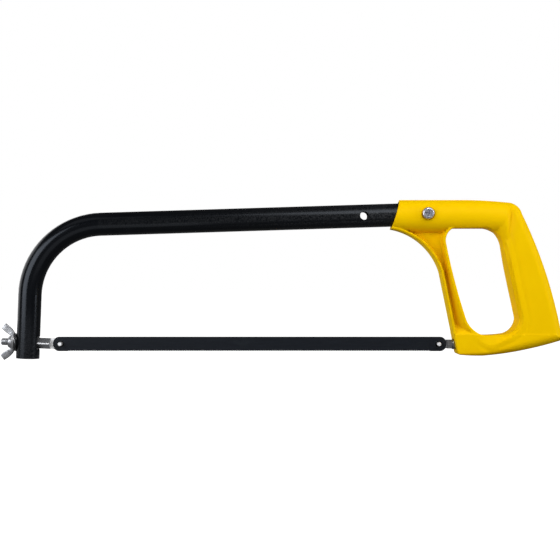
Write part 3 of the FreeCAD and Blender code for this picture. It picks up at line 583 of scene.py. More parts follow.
OUTER = [
    (-38.2, top - 23.1, 0), (-31.4, top, 0), (22.0, top, 0.4), (56.9, top - 2.2, 1.6),
    (64.8, top - 10.9, 3.6), (96.5, 5.6, 0.5), (95.1, 3.1, 1.7), (34.0, -8.8, 0.25),
    (16.4, -8.2, 0.5), (13.6, -6.5, 0), (10.6, 9.6, 0), (0.9, top - 57.1, -7.2),
]
FINGER_HOLE = [
    (11.0, underside, 0), (36.0, underside, 3.0), (49.6, underside - 12.5, 0), (62.1, 20.7, 2.6),
    (52.3, 8.3, 0.4), (34.5, 7.2, 2.0), (20.9, 19.1, 1.0), (4.9, underside - 12.5, 2.6),
]
SPACING = 0.9


def trace(corners, spacing=SPACING):
    """Evenly spaced points along straight runs and arcs; a bulge stands out to the chord's left."""
    points = []
    for (ax, az, bulge), (bx, bz, _) in zip(corners, corners[1:] + corners[:1]):
        start, end = np.array([ax, az]), np.array([bx, bz])
        chord = end - start
        length = np.hypot(*chord)
        left = np.array([-chord[1], chord[0]]) / length
        count = max(2, int(round(length / spacing)))
        if abs(bulge) < 1e-6:
            points += [start + chord * step / count for step in range(count)]
            continue
        radius = (length / 2) ** 2 / (2 * abs(bulge)) + abs(bulge) / 2
        centre = (start + end) / 2 + left * (abs(bulge) - radius) * math.copysign(1, bulge)
        spoke = start - centre
        sweep = 2 * math.asin(min(1.0, length / 2 / radius)) * -math.copysign(1, bulge)
        for step in range(count):
            turn = sweep * step / count
            points.append(
                centre
                + spoke * math.cos(turn)
                + np.array([-spoke[1], spoke[0]]) * math.sin(turn)
            )
    return np.array(points)


outer_line = trace(OUTER)
hole_line = trace(FINGER_HOLE)
print("outline points:", len(outer_line), "finger hole points:", len(hole_line))

# %% [markdown]
# ## Handle, step 2: a map of its thickness
# The moulding is the same on both sides, so its shape is a height map: at each place of the side
# view there is one half thickness. A bar over the tube, a thick rounded grip, a thinner base,
# and a strut with two flanges and a thin web are each a simple formula, and where they meet,
# the thicker one wins with a small fillet, as the toolmaker's cutter leaves it. This gives soft
# blends that boolean cuts can't give, and it stays a small mesh.

# %% Distances and blends


def distance_to(points, line, closed=True):
    """Distance from each point to a line of points."""
    starts = line if closed else line[:-1]
    ends = np.roll(line, -1, axis=0) if closed else line[1:]
    best = np.full(len(points), 1e9)
    for start, end in zip(starts, ends):
        run = end - start
        share = np.clip(((points - start) @ run) / max(run @ run, 1e-12), 0, 1)
        best = np.minimum(best, np.hypot(*(points - start - share[:, None] * run).T))
    return best


def inside(points, line):
    """Whether each point lies inside a closed line."""
    flips = np.zeros(len(points), bool)
    for (ax, az), (bx, bz) in zip(line, np.roll(line, -1, axis=0)):
        if az == bz:
            continue
        crosses = (az > points[:, 1]) != (bz > points[:, 1])
        flips ^= crosses & (points[:, 0] < ax + (points[:, 1] - az) * (bx - ax) / (bz - az))
    return flips


def ease(value, low, high):
    """Smooth step from 0 at low to 1 at high."""
    share = np.clip((value - low) / (high - low), 0, 1)
    return share * share * (3 - 2 * share)


def thicker(first, second, fillet):
    """The larger of two thicknesses, with a fillet where they meet."""
    gap = np.clip(0.5 + 0.5 * (first - second) / fillet, 0, 1)
    return second + (first - second) * gap + fillet * gap * (1 - gap)


def rounding(distance, radius):
    """How far a rounded edge has dropped at a distance in from the edge."""
    share = np.clip(1 - distance / radius, 0, 1)
    return radius * (1 - np.sqrt(np.maximum(1 - share * share, 0)))


print("edge of radius 4 drops", rounding(np.array([0.0, 1.0, 4.0]), 4.0).round(2))

# %% The thickness map
BAR_HALF_WIDTH = 12.5
BAR_HALF_HEIGHT = 13.2
GRIP_HALF = 14.0
FLANGE_HALF = 9.5
WEB_HALF = 3.0
crown_line = trace(OUTER[1:6])[: -int(1 / SPACING) - 1]
crown_line = crown_line[: np.argmax(crown_line[:, 1] < 8.0)]
strut_line = trace([OUTER[10], OUTER[11], (*OUTER[0][:2], 0)])
strut_line = strut_line[: int(np.argmin(np.hypot(*(strut_line - OUTER[0][:2]).T))) + 1]


def half_thickness(points):
    """Half thickness of the handle at points (x, z) of the side view, in millimetres."""
    x, z = points.T
    edge = distance_to(points, outer_line)
    hole = distance_to(points, hole_line)
    crown = distance_to(points, crown_line, closed=False)

    level = np.clip((crown - BAR_HALF_HEIGHT) / BAR_HALF_HEIGHT, -1, 1)
    bar = BAR_HALF_WIDTH * np.sqrt(1 - level**2)
    bar = bar * (1 - ease(x, 52, 66))

    palm = FLANGE_HALF + (GRIP_HALF - FLANGE_HALF) * ease(x + 0.35 * z, 18, 62)
    palm = palm * ease(x - 0.25 * (z - 60), 30, 56) + WEB_HALF * (1 - ease(x - 0.25 * (z - 60), 30, 56))
    foot = FLANGE_HALF + (GRIP_HALF - FLANGE_HALF) * ease(x, 18, 62)
    ramp = np.clip((z - 8.0) / 8.0, 0, 1)
    foot = foot * (1 - ramp) + WEB_HALF * ramp
    low = 1 - ease(z, 22, 60)
    body_radius = np.clip(1.2 + (x - 15) * 0.12, 1.2, 7.5) * low + 7.5 * (1 - low)
    solid = thicker(palm, foot, 0.8)
    solid = solid - np.minimum(rounding(edge, body_radius), solid - 0.4)

    lip_width = 2.5 + 5.0 * np.exp(-(((x - 40.0) / 9.5) ** 2)) * (1 - ease(z, 9, 16))
    lip_drop = 1.2 + 1.5 * ease(x, 30, 52)
    lip_zone = ease(x, 24, 40) * (1 - ease(z, underside - 10, underside + 2))
    step = np.clip((lip_width - hole) / np.maximum(lip_width - 1.1, 0.5), 0, 1)
    wave = 0.3 * np.exp(-(((hole - lip_width - 4.4) / 1.6) ** 2))
    solid = solid - lip_zone * (lip_drop * step + wave)

    strut = distance_to(points, strut_line, closed=False)
    front_line = ease(strut, 1.7, 3.2)
    flange = (FLANGE_HALF - rounding(strut, 1.3)) * (1 - front_line) + WEB_HALF * front_line
    wall = 1.4 + 5.6 * np.clip((80 - z) / 66, 0, 1)
    rib_slope = np.clip((hole - 1.9) / wall, 0, 1)
    rib = FLANGE_HALF * (1 - rib_slope) + WEB_HALF * rib_slope
    rib = np.where(x < 30, rib, WEB_HALF)

    sheet = np.full(len(points), WEB_HALF)
    height = thicker(sheet, thicker(flange, rib, 0.5), 0.5)
    height = thicker(height, solid, 0.6)
    height = thicker(height, bar, 0.35)
    nose = distance_to(points, np.array([OUTER[0][:2], OUTER[1][:2]], float), closed=False)
    height = height - rounding(nose, 0.8)
    height = height - rounding(hole, 0.9)
    return np.maximum(height, 0.25)


probes = np.array([(-10, 104), (30, 100), (75, 60), (2, 75), (60, -1), (16, 0)], float)
print("half thickness at six places:", half_thickness(probes).round(1))

# %% [markdown]
# ## Handle, step 3: the skin
# The skin needs many points where the thickness changes fast and few where it is flat. Points
# go in rings at growing distances from both outlines, and a loose grid fills the rest. A
# triangulation joins them without crossing the outlines. The front and the back are two such
# skins, and the strip between them closes the edge. The slope of the thickness map also gives
# exact normals, so the gloss runs smoothly over the triangles.

# %% Points for the skin
RINGS = (0.05, 0.18, 0.45, 0.9, 1.5, 2.1, 2.9, 3.8, 4.9, 6.2, 7.8)


def ring_points(line, distance, boundary_lines):
    """Points at a distance from a line, on the side where the plastic is."""
    ahead = np.roll(line, -1, axis=0) - np.roll(line, 1, axis=0)
    normal = np.stack([-ahead[:, 1], ahead[:, 0]], 1) / np.hypot(*ahead.T)[:, None]
    found = []
    for side in (1, -1):
        moved = line + normal * side * distance
        keep = inside(moved, outer_line) & ~inside(moved, hole_line)
        for other in boundary_lines:
            keep &= distance_to(moved, other) > distance * 0.97
        found.append(moved[keep])
    return np.concatenate(found)


def thin_out(candidates, keep_out, gap):
    """Drop candidates nearer than a gap to points that are already placed."""
    cells = {}
    for point in keep_out:
        cells.setdefault((int(point[0] // gap), int(point[1] // gap)), []).append(point)
    kept = []
    for point in candidates:
        column, row = int(point[0] // gap), int(point[1] // gap)
        near = [
            other
            for i in (-1, 0, 1)
            for j in (-1, 0, 1)
            for other in cells.get((column + i, row + j), ())
        ]
        if all(np.hypot(*(point - other)) >= gap for other in near):
            kept.append(point)
            cells.setdefault((column, row), []).append(point)
    return np.array(kept).reshape(-1, 2)


edge_lines = (outer_line, hole_line)
placed = np.concatenate([outer_line, hole_line])
for distance in RINGS:
    ring = np.concatenate([ring_points(line, distance, edge_lines) for line in edge_lines])
    gap = min(0.7, max(0.04, distance * 0.30))
    placed = np.concatenate([placed, thin_out(ring, placed, gap)])
columns, rows = np.meshgrid(np.arange(-38, back_x, 0.95), np.arange(base_z, top, 0.82))
columns[1::2] += 0.47
grid = np.stack([columns.ravel(), rows.ravel()], 1)
grid = grid[inside(grid, outer_line) & ~inside(grid, hole_line)]
placed = np.concatenate([placed, thin_out(grid, placed, 0.62)])
skin_points = placed[len(outer_line) + len(hole_line):]
print("skin points:", len(skin_points))

# %% Triangulate one side


def circle_loop(centre, radius, count=40, turn=0.0):
    angles = [2 * math.pi * step / count + turn for step in range(count)]
    return np.array([(centre[0] + radius * math.cos(a), centre[1] + radius * math.sin(a)) for a in angles])


def triangulate(outer, holes, fill):
    """Triangles between an outer loop and its holes, using extra fill points."""
    loops = [outer, *holes]
    everything = np.concatenate([*loops, fill])
    edges, start = [], 0
    for loop in loops:
        edges += [(start + i, start + (i + 1) % len(loop)) for i in range(len(loop))]
        start += len(loop)
    points, _, faces, *_ = delaunay_2d_cdt([Vector(p) for p in everything], edges, [], 1, 1e-5)
    points = np.array([tuple(p) for p in points])
    faces = np.array([f for f in faces if len(f) == 3])
    centres = points[faces].mean(1)
    keep = inside(centres, outer)
    for hole in holes:
        keep &= ~inside(centres, hole)
    return points, faces[keep]


HEAD_RECESS = circle_loop((screw_x, screw_z), 5.45, 48)
NUT_POCKET = circle_loop((screw_x, screw_z), 5.1 / math.cos(math.pi / 6), 6)
near_screw = np.hypot(*(skin_points - (screw_x, screw_z)).T)
front_fill = np.concatenate(
    [skin_points[near_screw > 6.3], circle_loop((screw_x, screw_z), 5.62, 48, 0.07)]
)
back_fill = skin_points[near_screw > 6.4]
front_points, front_faces = triangulate(outer_line, [hole_line, HEAD_RECESS], front_fill)
back_points, back_faces = triangulate(outer_line, [hole_line, NUT_POCKET], back_fill)
print("front triangles:", len(front_faces), "back triangles:", len(back_faces))

# %% [markdown]
# ## Handle, step 4: edges and openings
# Three more surfaces close the moulding: the strip round both outlines, the slanted nose with
# the socket that takes the tube, and the small face with the mouth for the blade holder. The
# recess of the screw head and the pocket of its nut get a wall and a floor each. Every opening
# is a real one, with a bore behind it, because a dark painted disc looks false from the side.

# %% Assemble the handle


class Shell:
    """Collects points, faces and normals, and merges them into one mesh."""

    def __init__(self):
        self.points, self.normals, self.faces = [], [], []

    def add(self, points, faces, normals):
        """Add faces, each turned so that its own direction agrees with the given normals."""
        start = len(self.points)
        points, normals = np.array(points, float), np.array(normals, float)
        for face in faces:
            ring = points[list(face)]
            facing = np.cross(ring[1] - ring[0], ring[2] - ring[0]) @ normals[list(face)].sum(0)
            ordered = face if facing >= 0 else list(face)[::-1]
            self.faces.append(tuple(int(i) + start for i in ordered))
        self.points += [tuple(p) for p in points]
        self.normals += [tuple(n) for n in normals]

    def quads(self, first, second, normals_first, normals_second, closed=True):
        """A strip of four-sided faces between two lines of points."""
        count = len(first)
        faces = [
            (i, (i + 1) % count, count + (i + 1) % count, count + i)
            for i in range(count if closed else count - 1)
        ]
        self.add([*first, *second], faces, [*normals_first, *normals_second])

    def to_object(self, name):
        mesh = bpy.data.meshes.new(name)
        mesh.from_pydata([[c * MM for c in p] for p in self.points], [], self.faces)
        mesh.polygons.foreach_set("use_smooth", [True] * len(mesh.polygons))
        mesh.normals_split_custom_set_from_vertices(self.normals)
        piece = bpy.data.objects.new(name, mesh)
        bpy.context.scene.collection.objects.link(piece)
        return piece


def slope(points):
    """Slope of the thickness map at points, across a short step."""
    step = 0.12
    across = half_thickness(points + (step, 0)) - half_thickness(points - (step, 0))
    upwards = half_thickness(points + (0, step)) - half_thickness(points - (0, step))
    return across / (2 * step), upwards / (2 * step)


def outline_normals(line):
    ahead = np.roll(line, -1, axis=0) - np.roll(line, 1, axis=0)
    return np.stack([-ahead[:, 1], ahead[:, 0]], 1) / np.hypot(*ahead.T)[:, None]


def unit(rows):
    """Rows of vectors, each scaled to length one."""
    return rows / np.linalg.norm(rows, axis=1)[:, None]


handle_shell = Shell()
for side, points, faces in ((-1, front_points, front_faces), (1, back_points, back_faces)):
    height = half_thickness(points)
    slope_x, slope_z = slope(points)
    normals = unit(np.stack([-slope_x, np.full(len(points), float(side)), -slope_z], 1))
    solid = np.stack([points[:, 0], side * height, points[:, 1]], 1)
    handle_shell.add(solid, faces, normals)
print("skins hold", len(handle_shell.points), "points")

# %% Close the edges of the handle


def wall_strip(line, outward, closed=True):
    """Side wall along an outline, from the front skin to the back skin."""
    height = half_thickness(line)
    levels = (-1.0, -0.5, 0.5, 1.0)
    normal = np.stack([outward[:, 0], np.zeros(len(line)), outward[:, 1]], 1)
    rows = [np.stack([line[:, 0], height * level, line[:, 1]], 1) for level in levels]
    for first, second in zip(rows, rows[1:]):
        handle_shell.quads(first, second, normal, normal, closed=closed)


nose_low, nose_high = np.array(OUTER[0][:2]), np.array(OUTER[1][:2])
mouth_low, mouth_high = np.array(OUTER[9][:2]), np.array(OUTER[10][:2])


def wall_loop(low, high, opening_z, radius):
    """Slanted end wall between two outline corners, with a round opening along X."""
    count = max(2, int(np.hypot(*(high - low)) / SPACING))
    line = np.array([low + (high - low) * step / count for step in range(count + 1)])
    height = half_thickness(line)
    rim = np.concatenate([np.stack([-height, line[:, 1]], 1), np.stack([height, line[:, 1]], 1)[::-1]])
    hole = circle_loop((0.0, opening_z), radius, 56)
    mid_fill = circle_loop((0.0, opening_z), radius + 0.35, 56)
    clear = inside(mid_fill, rim)
    points, faces = triangulate(rim, [hole], mid_fill[clear])
    slant = (high - low) / (high[1] - low[1])
    solid = np.stack([low[0] + slant[0] * (points[:, 1] - low[1]), points[:, 0], points[:, 1]], 1)
    outward = np.array([-1.0, 0.0, slant[0]])
    outward /= np.linalg.norm(outward)
    handle_shell.add(solid, faces, np.tile(outward, (len(points), 1)))
    hole_rim = np.stack([low[0] + slant[0] * (hole[:, 1] - low[1]), hole[:, 0], hole[:, 1]], 1)
    return hole_rim


def bore(rim, centre, end_x):
    """Inside wall of a round opening along X, with a closed end."""
    deep = rim.copy()
    deep[:, 0] = end_x
    inward = unit(np.stack([np.zeros(len(rim)), -rim[:, 1], centre - rim[:, 2]], 1))
    handle_shell.quads(rim, deep, inward, inward)
    middle = np.array([[end_x, 0.0, centre]])
    faces = [(i, (i + 1) % len(rim), len(rim)) for i in range(len(rim))]
    handle_shell.add(np.concatenate([deep, middle]), faces, np.tile([-1.0, 0, 0], (len(rim) + 1, 1)))


def sunk_floor(loop, side, depth_y, corners_sharp=False):
    """Wall and floor of a recess that goes straight into a side of the bar."""
    rim = np.stack([loop[:, 0], side * half_thickness(loop), loop[:, 1]], 1)
    floor_rim = rim.copy()
    floor_rim[:, 1] = side * depth_y
    count = len(loop)
    for i in range(count):
        j = (i + 1) % count
        run = loop[j] - loop[i]
        flat = np.array([run[1], 0.0, -run[0]]) / np.hypot(*run)
        centre = np.array([screw_x, screw_z])
        if np.dot(flat[[0, 2]], centre - (loop[i] + loop[j]) / 2) < 0:
            flat = -flat
        pair = (i, j)
        if corners_sharp:
            normals = [flat, flat]
        else:
            spokes = [centre - loop[k] for k in pair]
            normals = [np.array([s[0], 0.0, s[1]]) / np.hypot(*s) for s in spokes]
        corners = [rim[i], rim[j], floor_rim[j], floor_rim[i]]
        handle_shell.add(corners, [(0, 1, 2, 3)], [normals[0], normals[1], normals[1], normals[0]])
    middle = np.array([[screw_x, side * depth_y, screw_z]])
    faces = [(i, (i + 1) % count, count) for i in range(count)]
    handle_shell.add(np.concatenate([floor_rim, middle]), faces, np.tile([0, side, 0], (count + 1, 1)))


def nearest_points(line, *corners):
    """Index of the outline point nearest to each corner."""
    return [int(np.argmin(np.hypot(*(line - corner).T))) for corner in corners]


outer_out = outline_normals(outer_line)
if inside((outer_line + outer_out * 0.2)[:1], outer_line)[0]:
    outer_out = -outer_out
hole_in = outline_normals(hole_line)
if not inside((hole_line + hole_in * 0.2)[:1], hole_line)[0]:
    hole_in = -hole_in
wall_strip(hole_line, hole_in)

nose_from, nose_to = nearest_points(outer_line, nose_low, nose_high)
mouth_from, mouth_to = nearest_points(outer_line, mouth_low, mouth_high)
for start, end in ((nose_to, mouth_from), (mouth_to, nose_from + len(outer_line))):
    picks = np.arange(start, end + 1) % len(outer_line)
    line, out = outer_line[picks], outer_out[picks].copy()
    for spot, run in ((0, line[1] - line[0]), (-1, line[-1] - line[-2])):
        flat = np.array([-run[1], run[0]]) / np.hypot(*run)
        out[spot] = flat if flat @ out[spot] > 0 else -flat
    wall_strip(line, out, closed=False)

SOCKET_RADIUS, SOCKET_END_X = 9.95, -8.0
HOLDER_RADIUS, HOLDER_END_X = 4.7, 17.0
HEAD_FLOOR_Y, NUT_FLOOR_Y = 11.3, 10.9
bore(wall_loop(nose_low, nose_high, socket_z, SOCKET_RADIUS), socket_z, SOCKET_END_X)
bore(wall_loop(mouth_low, mouth_high, 0.0, HOLDER_RADIUS), 0.0, HOLDER_END_X)
sunk_floor(HEAD_RECESS, -1, HEAD_FLOOR_Y)
sunk_floor(NUT_POCKET, 1, NUT_FLOOR_Y, corners_sharp=True)

handle = handle_shell.to_object("moulded_handle")
handle.data.materials.append(handle_plastic)
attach(handle, "frame")
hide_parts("handle")
print("handle faces:", len(handle.data.polygons))

# %% [markdown]
# ## Blade
# A hacksaw blade is a thin strip whose teeth are set in a wave: whole groups of teeth lean to
# one side and then to the other, so that the cut is wider than the strip. The outline is drawn
# one tooth at a time and filled with triangles round the two holes. Only then does it get its
# thickness and its wave, so the teeth, the set and the round ends are all real shape. Tension
# pulls each pin against the outer side of its hole, so the middles of the holes lie a little
# nearer to each other than the pins.

# %% Blade strip
blade_low, blade_high = box_mm("blade")
TOOTH_PITCH = 1.4
TOOTH_DEPTH = 0.9
SET_WAVE = 11.2
SET_SIDE = 0.16
HOLE_RADIUS = 2.2
HOLE_SHIFT = 0.58
END_RADIUS = 4.8
END_STEP = 0.15
PLAIN_END = 12.0


def blade_outline():
    """Blade seen from the side: round ends, straight back and a row of raked teeth."""
    left, right = blade_low.x, blade_high.x
    back, gullet = blade_high.z, blade_low.z + TOOTH_DEPTH
    foot = blade_low.z + END_STEP
    line = []
    corners = (
        (right - END_RADIUS, foot + END_RADIUS, -90), (right - END_RADIUS, back - END_RADIUS, 0),
        (left + END_RADIUS, back - END_RADIUS, 90), (left + END_RADIUS, foot + END_RADIUS, 180),
    )
    for number, (cx, cz, start) in enumerate(corners):
        for step in range(9):
            angle = math.radians(start + 90 * step / 8)
            line.append((cx + END_RADIUS * math.cos(angle), cz + END_RADIUS * math.sin(angle)))
        if number == 1:
            count = 60
            run = left + END_RADIUS - (right - END_RADIUS)
            line += [(right - END_RADIUS + run * i / count, back) for i in range(1, count)]
    first = left + PLAIN_END
    teeth = int((right - PLAIN_END - first) / TOOTH_PITCH)
    line.append((first, foot))
    for number in range(teeth):
        x = first + number * TOOTH_PITCH
        line += [
            (x, gullet), (x + TOOTH_PITCH * 0.40, gullet - TOOTH_DEPTH * 0.55),
            (x + TOOTH_PITCH * 0.72, blade_low.z), (x + TOOTH_PITCH * 0.84, blade_low.z),
            (x + TOOTH_PITCH * 0.90, gullet - TOOTH_DEPTH * 0.35),
        ]
    last = first + teeth * TOOTH_PITCH
    line += [(last, gullet), (last + 0.05, foot)]
    return np.array(line)


blade_line = blade_outline()
rear_hole_x, front_hole_x = rear_pin.x - HOLE_SHIFT, front_pin.x + HOLE_SHIFT
rear_hole = circle_loop((rear_hole_x, rear_pin.z), HOLE_RADIUS, 32)
front_hole = circle_loop((front_hole_x, front_pin.z), HOLE_RADIUS, 32)
rows_z = np.array([-3.9, -2.9, -1.9, 0.2, 2.4, 4.6])
fill_x, fill_z = np.meshgrid(np.arange(blade_low.x + 1, blade_high.x, 1.9), rows_z)
fill = np.stack([fill_x.ravel(), fill_z.ravel()], 1)
fill = fill[inside(fill, blade_line) & (distance_to(fill, blade_line) > 0.5)]
for centre_x in (rear_hole_x, front_hole_x):
    fill = fill[np.hypot(fill[:, 0] - centre_x, fill[:, 1]) > HOLE_RADIUS + 0.5]
flat_points, flat_faces = triangulate(blade_line, [rear_hole, front_hole], fill)
print("blade outline", len(blade_line), "points, triangles", len(flat_faces))

# %% Give the blade its thickness and its wavy set
thickness = blade_high.y - blade_low.y
middle_y = (blade_high.y + blade_low.y) / 2


def set_of_teeth(points):
    """Sideways lean of the toothed edge: a wave that fades out above the gullets and at the ends."""
    x, z = points.T
    depth = np.clip((-2.6 - z) / 3.2, 0, 1) ** 1.4
    ends = ease(x, blade_low.x + 11, blade_low.x + 16) * (1 - ease(x, blade_high.x - 16, blade_high.x - 11))
    return SET_SIDE * depth * ends * np.sin(2 * math.pi * x / SET_WAVE)


blade_shell = Shell()
for side in (-1, 1):
    lean = set_of_teeth(flat_points)
    solid = np.stack([flat_points[:, 0], middle_y + side * thickness / 2 + lean, flat_points[:, 1]], 1)
    blade_shell.add(solid, flat_faces, np.tile([0.0, side, 0.0], (len(solid), 1)))
for loop, sign in ((blade_line, 1), (rear_hole, -1), (front_hole, -1)):
    lean = set_of_teeth(loop)
    count = len(loop)
    for i in range(count):
        j = (i + 1) % count
        run = loop[j] - loop[i]
        out = np.array([run[1], 0.0, -run[0]]) / np.hypot(*run) * sign
        ring = [
            (loop[k][0], middle_y + side * thickness / 2 + lean[k], loop[k][1])
            for k, side in ((i, -1), (j, -1), (j, 1), (i, 1))
        ]
        blade_shell.add(ring, [(0, 1, 2, 3)], [out] * 4)
blade_piece = blade_shell.to_object("set_blade")
blade_piece.data.materials.append(blade_finish)
blade_piece.data.materials.append(pin_steel)
for face in blade_piece.data.polygons:
    middle = face.center / MM
    near_hole = min(math.hypot(middle.x - hole_x, middle.z) for hole_x in (rear_hole_x, front_hole_x))
    face.material_index = int(abs(face.normal.y) < 0.5 and near_hole < HOLE_RADIUS + 0.1)
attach(blade_piece, "blade")
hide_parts("blade")
print("blade faces:", len(blade_piece.data.polygons))

# %% [markdown]
# ## Wing nut
# The wing nut is pressed from sheet: a round foot, a short tapered hub round the thread, and
# two wings that sweep outwards so that the fingers find them. The hub is turned, so it is a
# profile spun about the axis. Each wing is a loft: a row of rounded sections along a curve,
# thick at the root and thin at the tip, with shallow ribs across for the fingers.

# %% Turned shapes and lofts
rod_up = Vector((rod_outward.z, 0, -rod_outward.x))
if rod_up.z < 0:
    rod_up = -rod_up
ROD_SIDE = Vector((0, 1, 0))


def on_rod(distance, height, side=0.0):
    """A point measured from the front pin along the rod, upwards from its axis, and sideways."""
    return front_pin + rod_outward * distance + rod_up * height + ROD_SIDE * side


def spin(profile, place, steps=64, closed=False):
    """Turn a profile of (distance, radius) pairs about an axis; place maps them to a point."""
    mesh_maker = bmesh.new()
    rings = []
    for step in range(steps):
        angle = 2 * math.pi * step / steps
        rings.append([
            mesh_maker.verts.new(place(along, radius * math.cos(angle), radius * math.sin(angle)) * MM)
            for along, radius in profile
        ])
    count = len(profile) if closed else len(profile) - 1
    for step in range(steps):
        here, there = rings[step], rings[(step + 1) % steps]
        for i in range(count):
            j = (i + 1) % len(profile)
            mesh_maker.faces.new((here[i], here[j], there[j], there[i]))
    bmesh.ops.remove_doubles(mesh_maker, verts=mesh_maker.verts, dist=1e-7)
    bmesh.ops.recalc_face_normals(mesh_maker, faces=mesh_maker.faces)
    return mesh_maker


def loft(mesh_maker, sections):
    """Join closed sections of equal length with faces, and cap both ends."""
    rings = [[mesh_maker.verts.new(point * MM) for point in section] for section in sections]
    for here, there in zip(rings, rings[1:]):
        for i in range(len(here)):
            j = (i + 1) % len(here)
            mesh_maker.faces.new((here[i], here[j], there[j], there[i]))
    mesh_maker.faces.new(rings[0][::-1])
    mesh_maker.faces.new(rings[-1])


def finish_piece(mesh_maker, name, material, body, replaced, crease=35.0, bevel_mm=0.0):
    """Turn a bmesh into a piece that rides on a body and stands for a mechanical part."""
    bmesh.ops.recalc_face_normals(mesh_maker, faces=mesh_maker.faces)
    mesh = bpy.data.meshes.new(name)
    mesh_maker.to_mesh(mesh)
    mesh_maker.free()
    mesh.polygons.foreach_set("use_smooth", [True] * len(mesh.polygons))
    mesh.set_sharp_from_angle(angle=math.radians(crease))
    mesh.materials.append(material)
    piece = bpy.data.objects.new(name, mesh)
    bpy.context.scene.collection.objects.link(piece)
    if bevel_mm:
        bevel = piece.modifiers.new("eased_edges", "BEVEL")
        bevel.width = bevel_mm * MM
        bevel.segments = 2
        bevel.limit_method = "ANGLE"
        bevel.angle_limit = math.radians(crease)
    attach(piece, body)
    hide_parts(replaced)
    print(name, "faces:", len(mesh.polygons))


print("rod rises", round(math.degrees(math.asin(rod_outward.z)), 2), "degrees")

# %% Wing nut
HUB_PROFILE = [
    (36.1, 3.1), (36.1, 6.6), (36.25, 7.0), (36.5, 7.15), (37.2, 7.15), (37.5, 6.9), (37.7, 6.2),
    (38.0, 5.8), (39.3, 5.2), (40.6, 4.7), (41.1, 4.5), (41.4, 4.2), (41.5, 3.9), (41.5, 3.3),
    (41.2, 3.05),
]
WING_SECTIONS = [
    (36.3, 4.4, 40.0, 4.4, 1.50), (36.5, 6.0, 40.3, 5.3, 1.45), (37.0, 7.5, 40.9, 5.75, 1.35),
    (38.2, 9.4, 42.0, 6.4, 1.20), (40.4, 11.8, 43.8, 7.5, 1.05), (42.6, 13.5, 46.0, 9.2, 0.95),
    (44.3, 14.7, 47.6, 10.7, 0.75),
]
SECTION_POINTS = 24
RIB_DEPTH = 0.12
FIRST_RIB_ROW = 15


def smooth_rows(rows, steps=6):
    """Rows of numbers joined by a smooth curve through all of them."""
    rows = np.array(rows, float)
    padded = np.concatenate([rows[:1] * 2 - rows[1:2], rows, rows[-1:] * 2 - rows[-2:-1]])
    made = []
    for a, b, c, d in zip(padded, padded[1:], padded[2:], padded[3:]):
        for step in range(steps):
            t = step / steps
            made.append(0.5 * (2 * b + (c - a) * t + (2 * a - 5 * b + 4 * c - d) * t**2
                               + (3 * b - a - 3 * c + d) * t**3))
    made.append(rows[-1])
    return made


wing_nut = spin(HUB_PROFILE, on_rod, closed=True)
for side in (1, -1):
    sections = []
    for number, (x_out, h_out, x_in, h_in, half_thick) in enumerate(smooth_rows(WING_SECTIONS)):
        middle = np.array([(x_out + x_in) / 2, (h_out + h_in) / 2])
        reach = np.array([(x_out - x_in) / 2, (h_out - h_in) / 2])
        rib = RIB_DEPTH * (number % 3 == 0) * (number > FIRST_RIB_ROW)
        section = []
        for step in range(SECTION_POINTS):
            angle = 2 * math.pi * step / SECTION_POINTS
            u = math.copysign(abs(math.cos(angle)) ** 0.30, math.cos(angle))
            v = math.copysign(abs(math.sin(angle)) ** 0.45, math.sin(angle)) * (half_thick - rib)
            along, height = middle + reach * u
            section.append(on_rod(along, side * height, v))
        sections.append(section)
    loft(wing_nut, sections)
finish_piece(wing_nut, "pressed_wing_nut", nut_zinc, "wing_nut", "wing_nut", crease=38)

# %% [markdown]
# ## Tension rod
# The rod is square steel bar standing on edge, with its edges milled off a little, a flat
# tongue at the blade's end and a thread at the other. The bar and the tongue are lofted. The
# thread is a real helix: a ring profile that moves along the axis by one pitch in each turn.

# %% Square bar, tongue and helical thread
SHOULDER = 8.4
BAR_END = 31.0
THREAD_END = 47.2
THREAD_RADIUS = 2.95
THREAD_DEPTH = 0.60
PITCH = 1.0
RUN_IN = 0.4
RUN_OUT = 1.2
CHAMFER = 0.35


def bar_section(distance):
    """Eight-sided section of the bar: a square on edge with its edges milled flat."""
    tip, flat = 4.25, 0.50
    corners = [(tip, flat), (flat, tip), (-flat, tip), (-tip, flat)]
    corners += [(-a, -b) for a, b in corners]
    return [on_rod(distance, up, side) for up, side in corners]


rod = bmesh.new()
loft(rod, [bar_section(d) for d in (SHOULDER, SHOULDER + 0.25, 15.0, 23.0, BAR_END)])
tongue = []
for distance, share in ((-5.0, 0.86), (-4.6, 0.97), (-3.5, 1.0), (3.0, 1.0), (SHOULDER, 1.0)):
    tongue.append([
        on_rod(distance, height * share, side)
        for height, side in ((-4.2, 0.05), (4.2, 0.05), (4.2, 0.5), (0.5, 4.2), (-0.5, 4.2), (-4.2, 0.5))
    ])
loft(rod, tongue)

thread = bmesh.new()
AROUND = 48
turns = (THREAD_END - BAR_END + RUN_IN) / PITCH
shape = ((0.0, 1.0), (0.12, 1.0), (0.5, 0.0), (0.62, 0.0))
rings = []
start_distance = BAR_END - RUN_IN
for step in range(int(turns * AROUND) + 1):
    angle = 2 * math.pi * step / AROUND
    base = start_distance + PITCH * step / AROUND
    row = []
    for along, crest in (*shape, (1.0, 1.0)):
        distance = min(base + (along - 1.0) * PITCH, THREAD_END - CHAMFER)
        fade = min(1.0, max(0.0, (THREAD_END - distance) / RUN_OUT))
        radius = THREAD_RADIUS - THREAD_DEPTH * (1 - crest * fade)
        row.append(thread.verts.new(
            on_rod(distance, radius * math.cos(angle), radius * math.sin(angle)) * MM
        ))
    rings.append(row)
for here, there in zip(rings, rings[1:]):
    for i in range(len(shape)):
        thread.faces.new((here[i], here[i + 1], there[i + 1], there[i]))
tip_profile = [
    (THREAD_END - 0.9, 2.36), (THREAD_END - CHAMFER, 2.36), (THREAD_END, 2.0), (THREAD_END, 0.0),
]
